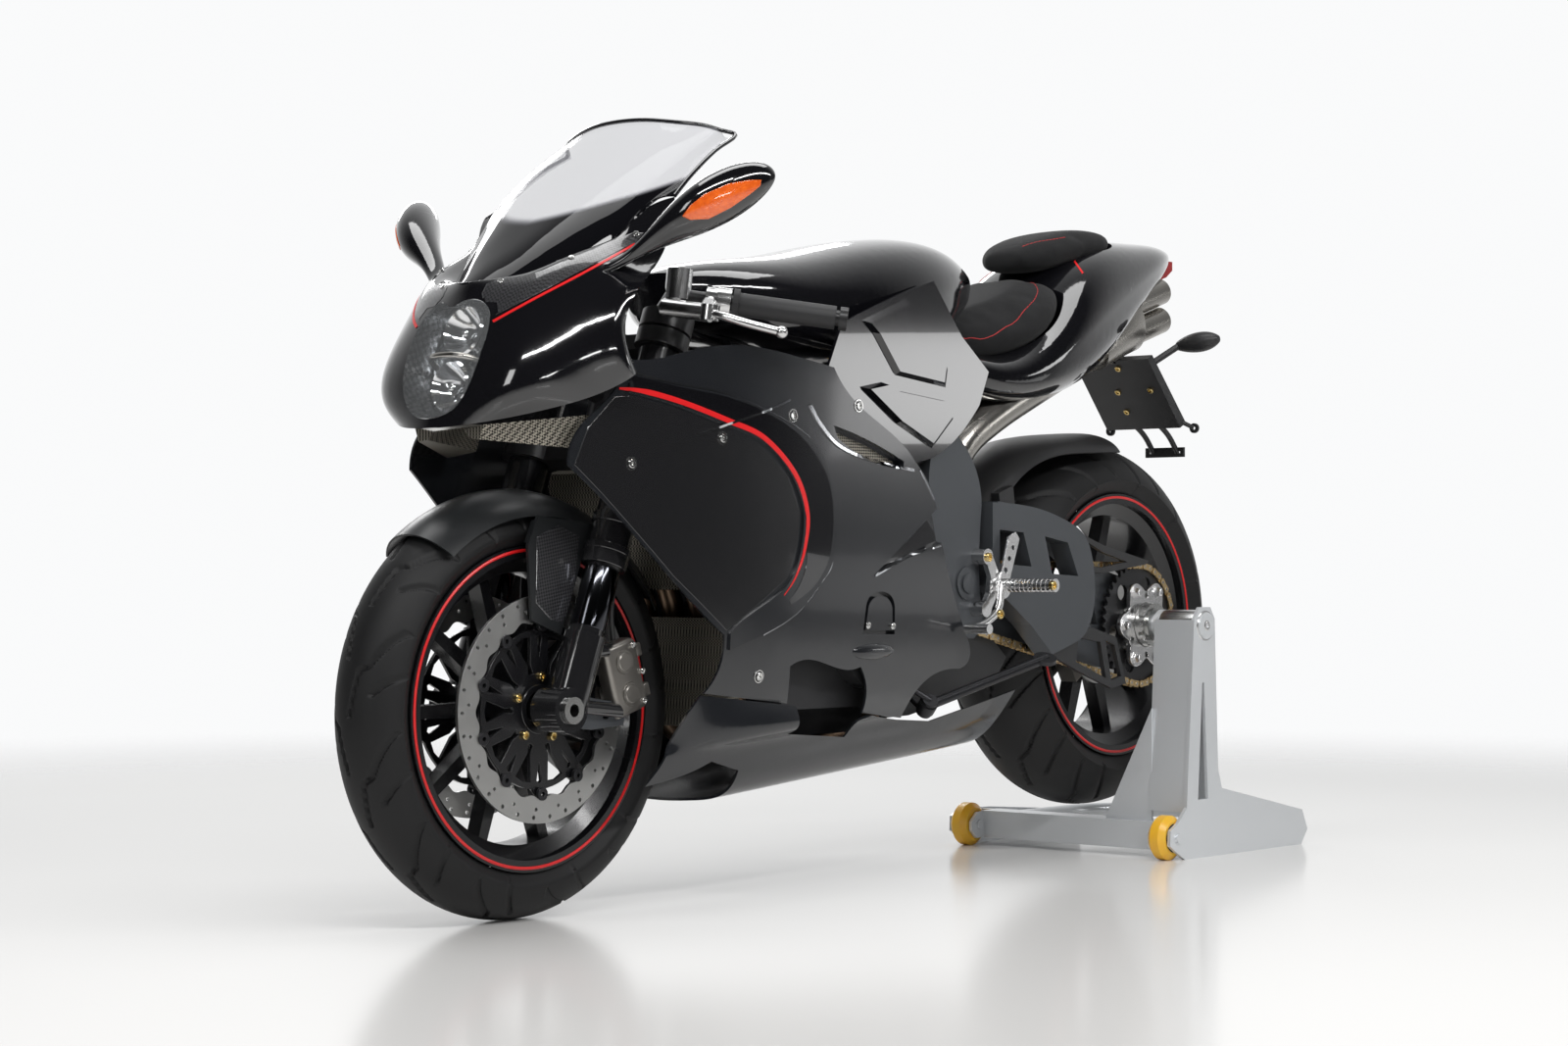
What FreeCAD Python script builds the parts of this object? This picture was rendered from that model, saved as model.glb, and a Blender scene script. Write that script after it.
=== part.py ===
import FreeCAD, Part
import math
import os
import Sketcher

# A faired sport bike on its rear paddock stand.
# Millimetres. X points forward, Y to the rider's left, Z up, and the floor is Z = 0.

V = FreeCAD.Vector
document = FreeCAD.newDocument("sport_bike")
sheet = document.addObject("Spreadsheet::Sheet", "Sizes")

# Driving dimensions
SIZES = (
    ("front_tyre_radius", 300),
    ("front_tyre_width", 120),
    ("rear_tyre_radius", 320),
    ("rear_tyre_width", 190),
    ("bead_radius", 218),
    ("rim_flange", 12),
    ("rim_wall", 5),
    ("front_rim_width", 106),
    ("rear_rim_width", 170),
    ("crown_rise_front", 50),
    ("crown_rise_rear", 66),
    ("front_spoke_count", 10),
    ("front_spoke_width", 20),
    ("front_spoke_depth", 26),
    ("rear_spoke_count", 10),
    ("rear_spoke_width", 24),
    ("rear_spoke_depth", 26),
    ("rear_spoke_plane", 8),
    ("front_hub_radius", 38),
    ("rear_hub_radius", 62),
    ("rear_axle_x", -677.6),
    ("rear_axle_height", 398),
    ("head_x", 485),
    ("head_height", 828),
    ("rake", 20.5),
    ("fork_offset", 30),
    ("axle_lead", 11.8),
    ("fork_spacing", 105),
    ("fork_tube_radius", 25),
    ("fork_sleeve_radius", 30),
    ("fork_sleeve_bottom", 500),
    ("fork_top", 868),
    ("upper_clamp_height", 815),
    ("lower_clamp_height", 655),
    ("clamp_thickness", 24),
    ("head_tube_radius", 30),
    ("stem_radius", 14),
    ("stem_bore", 10),
    ("axle_radius", 12.5),
    ("axle_bore", 9),
    ("axle_end", 135),
    ("running_gap", 0.05),
    ("disc_radius", 160),
    ("disc_inner", 122),
    ("disc_thickness", 5),
    ("disc_plane", 68),
    ("caliper_length", 110),
    ("caliper_angle", 163),
    ("caliper_wall", 14),
    ("rear_disc_radius", 105),
    ("rear_disc_plane", 44),
    ("rear_disc_thickness", 5),
    ("axle_tube_radius", 30),
    ("stand_pin_radius", 20),
    ("stand_pin_end", 270),
    ("sprocket_plane", 124),
    ("sprocket_thickness", 6),
    ("chain_pitch", 15.875),
    ("rear_teeth", 41),
    ("front_teeth", 15),
    ("front_sprocket_x", -45),
    ("front_sprocket_height", 468),
    ("chain_width", 17),
    ("chain_height", 15),
    ("chain_groove", 9),
    ("tooth_height", 3.5),
    ("pivot_x", -130),
    ("pivot_height", 473),
    ("pivot_tube_radius", 42),
    ("pivot_bolt_radius", 15),
    ("arm_wall_inner", 101),
    ("arm_wall_outer", 112),
    ("arm_cover_inner", 140),
    ("arm_cover_outer", 178),
    ("hub_housing_radius", 80),
    ("hub_housing_inner", 54),
    ("plate_inner", 140),
    ("plate_thickness", 26),
    ("panel_wall", 4),
    ("nose_wall", 3),
    ("belly_height", 142),
    ("belly_rise", 0.0856),
    ("side_width", 207),
    ("peg_length", 105),
    ("peg_radius", 11),
    ("roller_radius", 38),
    ("roller_width", 34),
    ("roller_x", -591),
    ("left_roller_y", 242),
    ("right_roller_y", -180),
    ("roller_pin_radius", 8),
    ("stand_rear_x", -1027),
    ("bar_radius", 11),
    ("grip_radius", 17),
    ("mirror_tip_y", 363),
    ("fender_gap", 8),
    ("fender_wall", 3),
)

for row, (alias, number) in enumerate(SIZES, start=1):
    sheet.set("A%d" % row, alias)
    sheet.set("B%d" % row, str(number))
    sheet.setAlias("B%d" % row, alias)
document.recompute()


class Amount(float):
    """A number together with the sheet formula that works it out."""

    def __new__(cls, value, formula):
        amount = float.__new__(cls, value)
        amount.formula = formula
        return amount

    def __add__(self, other):
        return Amount(float(self) + float(other), "(%s + %s)" % (self.formula, formula_of(other)))

    def __radd__(self, other):
        return Amount(float(other) + float(self), "(%s + %s)" % (formula_of(other), self.formula))

    def __sub__(self, other):
        return Amount(float(self) - float(other), "(%s - %s)" % (self.formula, formula_of(other)))

    def __rsub__(self, other):
        return Amount(float(other) - float(self), "(%s - %s)" % (formula_of(other), self.formula))

    def __mul__(self, other):
        return Amount(float(self) * float(other), "(%s * %s)" % (self.formula, formula_of(other)))

    def __rmul__(self, other):
        return Amount(float(other) * float(self), "(%s * %s)" % (formula_of(other), self.formula))

    def __truediv__(self, other):
        return Amount(float(self) / float(other), "(%s / %s)" % (self.formula, formula_of(other)))

    def __rtruediv__(self, other):
        return Amount(float(other) / float(self), "(%s / %s)" % (formula_of(other), self.formula))

    def __neg__(self):
        return Amount(-float(self), "(0 - %s)" % self.formula)


def formula_of(value):
    """The sheet formula of an amount, or a plain number as text."""
    if isinstance(value, Amount):
        return value.formula
    return "(%.6f)" % value


def sine(angle):
    """The sine of an angle in degrees."""
    return Amount(math.sin(math.radians(angle)), "sin(%s)" % formula_of(angle))


def cosine(angle):
    """The cosine of an angle in degrees."""
    return Amount(math.cos(math.radians(angle)), "cos(%s)" % formula_of(angle))


class SheetReader:
    """Reads the cells of the sheet by their names."""

    def __getattr__(self, alias):
        return Amount(float(sheet.get(alias)), "Sizes." + alias)


size = SheetReader()


def bind(thing, property_name, value):
    """Set a property, with the sheet's formula where the value has one."""
    if isinstance(value, Amount) or "." in property_name:
        thing.setExpression(property_name, formula_of(value))
    else:
        setattr(thing, property_name, float(value))


def place(thing, x=0.0, y=0.0, z=0.0, turn=None):
    """Put a thing at a point, turned by a rotation."""
    rotation = turn or FreeCAD.Rotation()
    thing.Placement = FreeCAD.Placement(V(float(x), float(y), float(z)), rotation)
    for letter, value in (("x", x), ("y", y), ("z", z)):
        if isinstance(value, Amount):
            thing.setExpression("Placement.Base.%s" % letter, value.formula)
    return thing


ALONG_Y = FreeCAD.Rotation(V(1, 0, 0), -90)


def round_bar(name, centre, low_y, high_y, radius):
    """A cylinder along Y about a centre (x, z)."""
    thing = document.addObject("Part::Cylinder", name)
    bind(thing, "Radius", radius)
    bind(thing, "Height", high_y - low_y)
    return place(thing, centre[0], low_y, centre[1], ALONG_Y)


def fused(name, pieces):
    """One solid of several pieces that overlap."""
    thing = document.addObject("Part::MultiFuse", name)
    thing.Shapes = pieces
    thing.Refine = True
    return thing


def less(name, base, tools):
    """A piece with others cut out of it."""
    tool = tools[0]
    if len(tools) > 1:
        tool = fused(name + "_tools", tools)
    thing = document.addObject("Part::Cut", name)
    thing.Base = base
    thing.Tool = tool
    return thing


def shaped(name, shape):
    """A piece whose shape is worked out below from the sheet's sizes."""
    thing = document.addObject("Part::Feature", name)
    thing.Shape = shape
    return thing


def together(name, pieces):
    """Like pieces that don't touch, kept as one sub-part."""
    thing = document.addObject("Part::Compound", name)
    thing.Links = pieces
    return thing


# Points worked out from the driving dimensions
rake_sine = sine(size.rake)
rake_cosine = cosine(size.rake)


def steering_x(height):
    """Where the steering axis passes at a height."""
    return size.head_x + (size.head_height - height) * rake_sine / rake_cosine


def fork_x(height):
    """Where the fork legs' axis passes at a height."""
    return steering_x(height) + size.fork_offset / rake_cosine


front_axle = (fork_x(size.front_tyre_radius) + size.axle_lead / rake_cosine, size.front_tyre_radius)
rear_axle = (size.rear_axle_x, size.rear_axle_height)
pivot = (size.pivot_x, size.pivot_height)
front_sprocket_centre = (size.front_sprocket_x, size.front_sprocket_height)
rear_pitch_radius = size.chain_pitch / (2 * sine(180 / size.rear_teeth))
front_pitch_radius = size.chain_pitch / (2 * sine(180 / size.front_teeth))


def sketch_on(body, role, outline):
    """A closed sketch on one of a body's own planes.

    Each point of the outline is (u, v) or (u, v, radius), where the radius bends
    the side that leads to it outwards. Every point is held by its distances.
    """
    sketch = body.newObject("Sketcher::SketchObject", body.Name + "_outline")
    plane = [feature for feature in body.Origin.OriginFeatures if feature.Role == role][0]
    sketch.AttachmentSupport = (plane, [""])
    sketch.MapMode = "FlatFace"
    sides = []
    for index, point in enumerate(outline):
        start = V(float(outline[index - 1][0]), float(outline[index - 1][1]), 0)
        end = V(float(point[0]), float(point[1]), 0)
        if len(point) == 3:
            across = (end - start).normalize()
            outwards = V(across.y, -across.x, 0)
            half = start.distanceToPoint(end) / 2
            rise = float(point[2]) - math.sqrt(float(point[2]) ** 2 - half ** 2)
            middle = (start + end) * 0.5 + outwards * rise
            side = sketch.addGeometry(Part.Arc(start, middle, end), False)
        else:
            side = sketch.addGeometry(Part.LineSegment(start, end), False)
        sides.append((side, start, end))
    for index, point in enumerate(outline):
        side, start, end = sides[index]
        following = sides[(index + 1) % len(sides)][0]
        here = 2 if sketch.getPoint(side, 2).distanceToPoint(end) < 1e-6 else 1
        there = 1 if sketch.getPoint(following, 1).distanceToPoint(end) < 1e-6 else 2
        sketch.addConstraint(Sketcher.Constraint("Coincident", side, here, following, there))
        for kind, value in (("DistanceX", point[0]), ("DistanceY", point[1])):
            number = sketch.addConstraint(Sketcher.Constraint(kind, -1, 1, side, here, float(value)))
            if isinstance(value, Amount):
                sketch.setExpression("Constraints[%d]" % number, value.formula)
        if len(point) == 3:
            number = sketch.addConstraint(Sketcher.Constraint("Radius", side, float(point[2])))
            if isinstance(point[2], Amount):
                sketch.setExpression("Constraints[%d]" % number, point[2].formula)
    return sketch


def turned(body, outline):
    """Revolve an outline of (radius, y) about the body's Y axis."""
    feature = body.newObject("PartDesign::Revolution", body.Name + "_turned")
    feature.Profile = sketch_on(body, "XY_Plane", outline)
    feature.ReferenceAxis = (feature.Profile[0], ["V_Axis"])
    feature.Angle = 360
    return feature


def padded(body, outline, depth):
    """Pad an outline of (x, z) to both sides of the body's own XZ plane."""
    feature = body.newObject("PartDesign::Pad", body.Name + "_pad")
    feature.Profile = sketch_on(body, "XZ_Plane", outline)
    feature.Midplane = True
    bind(feature, "Length", depth)
    return feature


def pocketed(body, outline, depth):
    """Cut an outline of (x, z) through the body, to both sides of its XZ plane."""
    feature = body.newObject("PartDesign::Pocket", body.Name + "_pocket")
    feature.Profile = sketch_on(body, "XZ_Plane", outline)
    feature.Midplane = True
    bind(feature, "Length", depth)
    return feature


def repeated(body, feature, count):
    """Repeat a feature round the body's Y axis."""
    pattern = body.newObject("PartDesign::PolarPattern", body.Name + "_pattern")
    pattern.Originals = [feature]
    axis = [item for item in body.Origin.OriginFeatures if item.Role == "Y_Axis"][0]
    pattern.Axis = (axis, [""])
    pattern.Angle = 360
    if isinstance(count, Amount):
        pattern.setExpression("Occurrences", count.formula)
    else:
        pattern.Occurrences = count
    body.Tip = pattern
    return pattern


def new_body(name):
    """An empty body."""
    return document.addObject("PartDesign::Body", name)


# Curves, walls and tubes
def smooth(points):
    """One smooth edge through points."""
    curve = Part.BSplineCurve()
    curve.interpolate([V(*[float(number) for number in point]) for point in points])
    return curve.toShape()


def outline_face(stretches, y):
    """A flat face in the plane of one Y, inside stretches that follow each other.

    A stretch is a list of (x, z) points: two make a straight side and more a smooth one.
    """
    edges = []
    for stretch in stretches:
        points = [V(float(x), float(y), float(z)) for x, z in stretch]
        if len(points) == 2:
            edges.append(Part.LineSegment(points[0], points[1]).toShape())
        else:
            edges.append(smooth(points))
    return Part.Face(Part.Wire(edges))


def slab(stretches, low_y, high_y):
    """An outline in the XZ plane, as thick as the distance between two Y values."""
    return outline_face(stretches, low_y).extrude(V(0, float(high_y) - float(low_y), 0))


def straight_slab(corners, low_y, high_y):
    """A slab with straight sides through its corners."""
    sides = [[corners[index - 1], corners[index]] for index in range(len(corners))]
    return slab(sides, low_y, high_y)


def surface(rows):
    """A smooth face through rows of points."""
    face = Part.BSplineSurface()
    face.interpolate([[V(*[float(number) for number in point]) for point in row] for row in rows])
    return face.toShape()


def walled(face, wall, inside):
    """A wall on the side of a face that faces a point inside."""
    choices = [face.makeOffsetShape(step, 0.01, fill=True) for step in (float(wall), -float(wall))]
    return min(choices, key=lambda solid: solid.CenterOfMass.distanceToPoint(inside))


def mirrored(shape):
    """The same shape on the other side of the bike."""
    return shape.mirror(V(0, 0, 0), V(0, 1, 0))


def bar(start, end, radius):
    """A round bar between two points."""
    first = V(*[float(number) for number in start])
    last = V(*[float(number) for number in end])
    return Part.makeCylinder(float(radius), first.distanceToPoint(last), first, last - first)


def cone(start, end, first_radius, last_radius):
    """A tapered round bar between two points."""
    first = V(*[float(number) for number in start])
    last = V(*[float(number) for number in end])
    return Part.makeCone(float(first_radius), float(last_radius), first.distanceToPoint(last), first, last - first)


def joined(shapes):
    """One shape of several that overlap."""
    return shapes[0].multiFuse(shapes[1:]).removeSplitter()


def largest(shape):
    """The largest solid of a shape, without the offcuts."""
    return max(shape.Solids, key=lambda solid: solid.Volume)


ARC_SHARE = 0.45


def rounded_path(points):
    """Straight runs joined by tangent arcs as large as the runs allow."""
    corners = [V(*[float(number) for number in point]) for point in points]
    edges = []
    here = corners[0]
    for before, corner, after in zip(corners, corners[1:], corners[2:]):
        incoming = (corner - before).normalize()
        outgoing = (after - corner).normalize()
        turn = incoming.getAngle(outgoing)
        reach = ARC_SHARE * min(corner.distanceToPoint(before), corner.distanceToPoint(after))
        radius = reach / math.tan(turn / 2)
        start = corner - incoming * reach
        end = corner + outgoing * reach
        towards = (outgoing - incoming).normalize()
        middle = corner + towards * (radius / math.cos(turn / 2) - radius)
        edges.append(Part.LineSegment(here, start).toShape())
        edges.append(Part.Arc(start, middle, end).toShape())
        here = end
    edges.append(Part.LineSegment(here, corners[-1]).toShape())
    return Part.Wire(edges)


def tube(points, radius):
    """A round tube along straight runs joined by arcs."""
    path = rounded_path(points)
    corners = [V(*[float(number) for number in point]) for point in points]
    ring = Part.Wire(Part.Circle(corners[0], corners[1] - corners[0], float(radius)).toShape())
    return path.makePipeShell([ring], True, False)


def section(x, middle_z, half_width, half_height, squareness=0.75, middle_y=0.0):
    """A closed smooth ring across the bike, between an ellipse and a box."""
    points = []
    steps = 16
    for step in range(steps):
        angle = 2 * math.pi * step / steps
        across = math.copysign(abs(math.cos(angle)) ** squareness, math.cos(angle))
        upwards = math.copysign(abs(math.sin(angle)) ** squareness, math.sin(angle))
        points.append(V(float(x), float(middle_y + half_width * across), float(middle_z + half_height * upwards)))
    curve = Part.BSplineCurve()
    curve.interpolate(points, PeriodicFlag=True)
    return Part.Wire(curve.toShape())


def oval(centre, direction, half_width, half_height):
    """A closed smooth ring square to a direction, its width along Y."""
    forwards = V(*direction).normalize()
    across = (V(0, 1, 0) - forwards * forwards.y).normalize()
    upwards = forwards.cross(across)
    points = []
    steps = 16
    for step in range(steps):
        angle = 2 * math.pi * step / steps
        sideways = across * (half_width * math.cos(angle))
        points.append(V(*centre) + sideways + upwards * (half_height * math.sin(angle)))
    curve = Part.BSplineCurve()
    curve.interpolate(points, PeriodicFlag=True)
    return Part.Wire(curve.toShape())


def lofted(rings):
    """A solid through rings."""
    return Part.makeLoft(rings, True, False)


# Wheels
LIP = 5
WELL_DEPTH = 20
BEAD_SHELF = 18
WELL_SLOPE = 12
WALL_STEP = 3
SEAT_GAP = 0.3


def tyre(name, centre, radius, width, rise, rim_width):
    """A tyre with a round crown on its rim's seats."""
    body = new_body(name)
    half = width / 2
    crown = (half * half + rise * rise) / (2 * rise)
    shoulder = radius - rise
    foot = size.bead_radius + SEAT_GAP
    foot_half = rim_width / 2 - LIP - SEAT_GAP
    over = size.bead_radius + size.rim_flange + SEAT_GAP
    outline = (
        (foot, -foot_half),
        (over, -foot_half),
        (shoulder, -half, half),
        (shoulder, half, crown),
        (over, foot_half, half),
        (foot, foot_half),
    )
    body.Tip = turned(body, outline)
    place(body, centre[0], 0.0, centre[1])
    return body


def barrel_outline(rim_width):
    """The cross-section of a rim: two flanges, two seats and the well between."""
    half = rim_width / 2
    seat = size.bead_radius
    flange = seat + size.rim_flange
    under = seat - size.rim_wall
    well = seat - WELL_DEPTH
    upper = [
        (flange, half - LIP),
        (flange, half),
        (under, half),
        (under, half - BEAD_SHELF + WALL_STEP),
        (well - size.rim_wall, half - BEAD_SHELF - WELL_SLOPE + WALL_STEP),
    ]
    lower = [(point[0], -point[1]) for point in reversed(upper)]
    inner_side = upper + lower
    outer_side = [
        (seat, -half + LIP),
        (seat, -half + BEAD_SHELF),
        (well, -half + BEAD_SHELF + WELL_SLOPE),
        (well, half - BEAD_SHELF - WELL_SLOPE),
        (seat, half - BEAD_SHELF),
        (seat, half - LIP),
    ]
    return inner_side + outer_side


def wheel(name, centre, rim_width, spoke, hub):
    """A cast wheel: barrel, straight spokes and hub."""
    body = new_body(name)
    turned(body, barrel_outline(rim_width))
    spoke_width, spoke_depth, spoke_plane, spoke_count = spoke
    hub_radius, hub_bore, hub_low, hub_high = hub
    root = hub_bore + (hub_radius - hub_bore) / 2
    reach = size.bead_radius - WELL_DEPTH - size.rim_wall / 2
    outline = (
        (root, -spoke_width * 0.62),
        (reach, -spoke_width * 0.42),
        (reach, spoke_width * 0.42),
        (root, spoke_width * 0.62),
    )
    pad = padded(body, outline, spoke_depth)
    bind(pad.Profile[0], "AttachmentOffset.Base.z", -1 * spoke_plane)
    repeated(body, pad, spoke_count)
    rings = (
        (hub_bore, hub_low),
        (hub_radius, hub_low),
        (hub_radius, hub_high),
        (hub_bore, hub_high),
    )
    body.Tip = turned(body, rings)
    place(body, centre[0], 0.0, centre[1])
    return body


def ring(name, centre, low_y, high_y, outer, inner):
    """A flat ring about an axle."""
    disc = round_bar(name + "_disc", centre, low_y, high_y, outer)
    hole = round_bar(name + "_hole", centre, low_y - 1, high_y + 1, inner)
    return less(name, disc, [hole])


front_tyre = tyre(
    "front_tyre", front_axle, size.front_tyre_radius, size.front_tyre_width,
    size.crown_rise_front, size.front_rim_width)
rear_tyre = tyre(
    "rear_tyre", rear_axle, size.rear_tyre_radius, size.rear_tyre_width,
    size.crown_rise_rear, size.rear_rim_width)

HUB_HALF = 52
front_rim = wheel(
    "front_rim", front_axle, size.front_rim_width,
    (size.front_spoke_width, size.front_spoke_depth, 0.0, size.front_spoke_count),
    (size.front_hub_radius, size.axle_radius + size.running_gap, -HUB_HALF, HUB_HALF))
rear_rim = wheel(
    "rear_rim", rear_axle, size.rear_rim_width,
    (size.rear_spoke_width, size.rear_spoke_depth, size.rear_spoke_plane, size.rear_spoke_count),
    (size.rear_hub_radius, size.axle_tube_radius + SEAT_GAP, -18, 30))

CARRIER_PLATE = 5
CARRIER_BORE = 26
CARRIER_BOSS = 44
WINDOW_INNER = 56
WINDOW_OUTER = 108
WINDOW_HALF_ANGLE = 12.5


def disc_carrier(name, side):
    """The dark centre that carries a front brake disc on the hub."""
    body = new_body(name)
    half = CARRIER_PLATE / 2
    rim = size.disc_inner - SEAT_GAP
    plate = (
        (CARRIER_BORE, -half),
        (rim, -half),
        (rim, half),
        (CARRIER_BORE, half),
    )
    turned(body, plate)
    spread = math.radians(WINDOW_HALF_ANGLE)
    window = (
        (WINDOW_INNER * math.cos(spread), -WINDOW_INNER * math.sin(spread) * 0.8),
        (WINDOW_OUTER * math.cos(spread), -WINDOW_OUTER * math.sin(spread)),
        (WINDOW_OUTER * math.cos(spread), WINDOW_OUTER * math.sin(spread)),
        (WINDOW_INNER * math.cos(spread), WINDOW_INNER * math.sin(spread) * 0.8),
    )
    repeated(body, pocketed(body, window, CARRIER_PLATE * 2), size.front_spoke_count)
    inner = -side * (size.disc_plane - HUB_HALF - SEAT_GAP)
    low, high = (inner, 0.0) if side > 0 else (0.0, inner)
    boss = (
        (CARRIER_BORE, low),
        (CARRIER_BOSS, low),
        (CARRIER_BOSS, high),
        (CARRIER_BORE, high),
    )
    body.Tip = turned(body, boss)
    return place(body, front_axle[0], side * size.disc_plane, front_axle[1])


SIDES = (("left", 1), ("right", -1))
half_disc = size.disc_thickness / 2
front_discs = together("front_discs", [
    ring("front_disc_" + word, front_axle, side * size.disc_plane - half_disc,
         side * size.disc_plane + half_disc, size.disc_radius, size.disc_inner)
    for word, side in SIDES])
front_disc_carriers = together("front_disc_carriers", [
    disc_carrier("disc_carrier_" + word, side) for word, side in SIDES])


# Front axle, fork and steering head
LUG_INNER = 79.5
LUG_OUTER = 129
LUG_RADIUS = 29
FOOT_TOP = 403
BORE_FIT = 0.02

shaft = round_bar("axle_shaft", front_axle, -LUG_OUTER, size.axle_end, size.axle_radius)
spacers = [
    round_bar("axle_spacer_left", front_axle, HUB_HALF + SEAT_GAP, LUG_INNER - SEAT_GAP, 17.0),
    round_bar("axle_spacer_right", front_axle, SEAT_GAP - LUG_INNER, -HUB_HALF - SEAT_GAP, 17.0),
]
axle_head = round_bar("axle_head", front_axle, LUG_OUTER + SEAT_GAP, size.axle_end, 19.0)
axle_hole = round_bar("axle_hole", front_axle, -LUG_OUTER - 1, size.axle_end + 1, size.axle_bore)
front_axle_shaft = less(
    "front_axle", fused("axle_solid", [shaft, axle_head] + spacers), [axle_hole])


def steered(shape):
    """Turn a shape from upright about the head to the raked steering axis."""
    turned_shape = shape.copy()
    turned_shape.rotate(V(0, 0, 0), V(0, 1, 0), -float(size.rake))
    turned_shape.translate(V(float(size.head_x), 0, float(size.head_height)))
    return turned_shape


def along_fork(height):
    """How far up the steering axis the fork legs reach a height."""
    return float((height - size.head_height - size.fork_offset * rake_sine) / rake_cosine)


def along_axis(height):
    """How far up the steering axis a height is."""
    return float((height - size.head_height) / rake_cosine)


def caliper_block(low_radius, high_radius, half_length, low_y, high_y):
    """A block on the brake disc's rim, square to its radius."""
    shape = Part.makeBox(high_radius - low_radius, high_y - low_y, 2 * half_length,
                         V(low_radius, low_y, -half_length))
    shape.rotate(V(0, 0, 0), V(0, 1, 0), -float(size.caliper_angle))
    shape.translate(V(float(front_axle[0]), 0, float(front_axle[1])))
    return shape


CALIPER_CLEAR = 5.2


def caliper_shape():
    """A radial caliper with the gap that its disc runs in."""
    wall = float(size.caliper_wall)
    inner = float(size.disc_plane - half_disc) - CALIPER_CLEAR
    outer = float(size.disc_plane + half_disc) + CALIPER_CLEAR
    rim = float(size.disc_radius)
    half = float(size.caliper_length) / 2
    whole = caliper_block(rim - 48, rim + 26, half, inner - wall, outer + 34)
    whole = whole.makeFillet(10, [edge for edge in whole.Edges if edge.Length > 60 and edge.Length < 66])
    gap = caliper_block(rim - 60, rim + CALIPER_CLEAR, half + 1, inner, outer)
    return whole.cut(gap)


def fork_leg(side):
    """A fork leg: sleeve, sliding tube and the axle lug with its caliper arms."""
    y = side * float(size.fork_spacing)
    offset = float(size.fork_offset)
    sleeve = Part.makeCylinder(
        float(size.fork_sleeve_radius), along_fork(size.fork_top) - along_fork(size.fork_sleeve_bottom),
        V(offset, y, along_fork(size.fork_sleeve_bottom)))
    collar = Part.makeCylinder(
        float(size.fork_sleeve_radius) + 3, 16, V(offset, y, along_fork(size.fork_sleeve_bottom) + 4))
    slider = Part.makeCylinder(
        float(size.fork_tube_radius), along_fork(size.fork_sleeve_bottom) - along_fork(FOOT_TOP) + 20,
        V(offset, y, along_fork(FOOT_TOP) - 10))
    foot = Part.makeCylinder(
        LUG_RADIUS, along_fork(FOOT_TOP) - along_fork(front_axle[1]), V(offset, y, along_fork(front_axle[1])))
    upper = [steered(shape) for shape in (sleeve, collar, slider, foot)]
    low_y = LUG_INNER if side > 0 else -LUG_OUTER
    axle_point = V(float(front_axle[0]), low_y, float(front_axle[1]))
    lug = Part.makeCylinder(LUG_RADIUS + 3, LUG_OUTER - LUG_INNER, axle_point, V(0, 1, 0))
    arms = []
    for height, radius in ((376, 9), (306, 10)):
        start = (fork_x(height), y, height)
        reach = float(fork_x(height)) - 110
        arms.append(bar(start, (reach, y, height + (10 if height > 350 else -12)), radius))
    hole = Part.makeCylinder(
        float(size.axle_radius) + BORE_FIT, 200, V(float(front_axle[0]), side * 100 - 100, float(front_axle[1])),
        V(0, 1, 0))
    keep_out = caliper_block(
        float(size.disc_radius) - 48 - SEAT_GAP, float(size.disc_radius) + 26 + SEAT_GAP,
        float(size.caliper_length) / 2 + SEAT_GAP, 40, 140)
    past = caliper_block(
        float(size.disc_radius) + 26, float(size.disc_radius) + 90, float(size.caliper_length), 40, 140)
    if side < 0:
        keep_out = mirrored(keep_out)
        past = mirrored(past)
    x, z = float(front_axle[0]), float(front_axle[1])
    spacer_room = Part.makeCylinder(17 + SEAT_GAP, LUG_INNER, V(x, 0, z), V(0, side, 0))
    head_room = Part.makeCylinder(19 + SEAT_GAP, 20, V(x, side * LUG_OUTER, z), V(0, side, 0))
    whole = joined(upper + [lug] + arms).cut(hole).cut(keep_out).cut(past)
    return largest(whole.cut(spacer_room).cut(head_room))


fork_leg_shapes = [fork_leg(side) for word, side in SIDES]
fork_legs = together("fork_legs", [
    shaped("fork_leg_" + word, shape) for (word, side), shape in zip(SIDES, fork_leg_shapes)])
caliper_shapes = [caliper_shape(), mirrored(caliper_shape())]
front_calipers = together("front_calipers", [
    shaped("front_caliper_" + word, shape) for (word, side), shape in zip(SIDES, caliper_shapes)])


def clamp(height, around):
    """A yoke that grips both fork legs and the stem."""
    middle = along_axis(height)
    thick = float(size.clamp_thickness)
    low = middle - thick / 2
    offset = float(size.fork_offset)
    spacing = float(size.fork_spacing)
    grip = float(size.fork_sleeve_radius) + around
    pieces = [Part.makeCylinder(grip, thick, V(offset, side * spacing, low)) for side in (1, -1)]
    pieces.append(Part.makeCylinder(34, thick, V(0, 0, low)))
    pieces.append(Part.makeBox(44, 2 * spacing, thick, V(offset - 34, -spacing, low)))
    yoke = joined(pieces)
    for side in (1, -1):
        hole = Part.makeCylinder(float(size.fork_sleeve_radius) + BORE_FIT, thick + 2,
                                 V(offset, side * spacing, low - 1))
        yoke = yoke.cut(hole)
    return yoke


def triple_clamps_shape():
    """Both yokes on their hollow stem."""
    low = along_axis(size.lower_clamp_height) - float(size.clamp_thickness) / 2
    high = along_axis(size.upper_clamp_height) + float(size.clamp_thickness) / 2
    stem = Part.makeCylinder(float(size.stem_radius), high - low + 10, V(0, 0, low))
    nut = Part.makeCylinder(22, 12, V(0, 0, high))
    yokes = [clamp(size.upper_clamp_height, 9), clamp(size.lower_clamp_height, 11)]
    hole = Part.makeCylinder(float(size.stem_bore), high - low + 40, V(0, 0, low - 10))
    return steered(joined(yokes + [stem, nut]).cut(hole))


triple_clamps = shaped("triple_clamps", triple_clamps_shape())

GRIP_INNER = (480, 215, 878)
GRIP_OUTER = (388, 325, 858)


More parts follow.
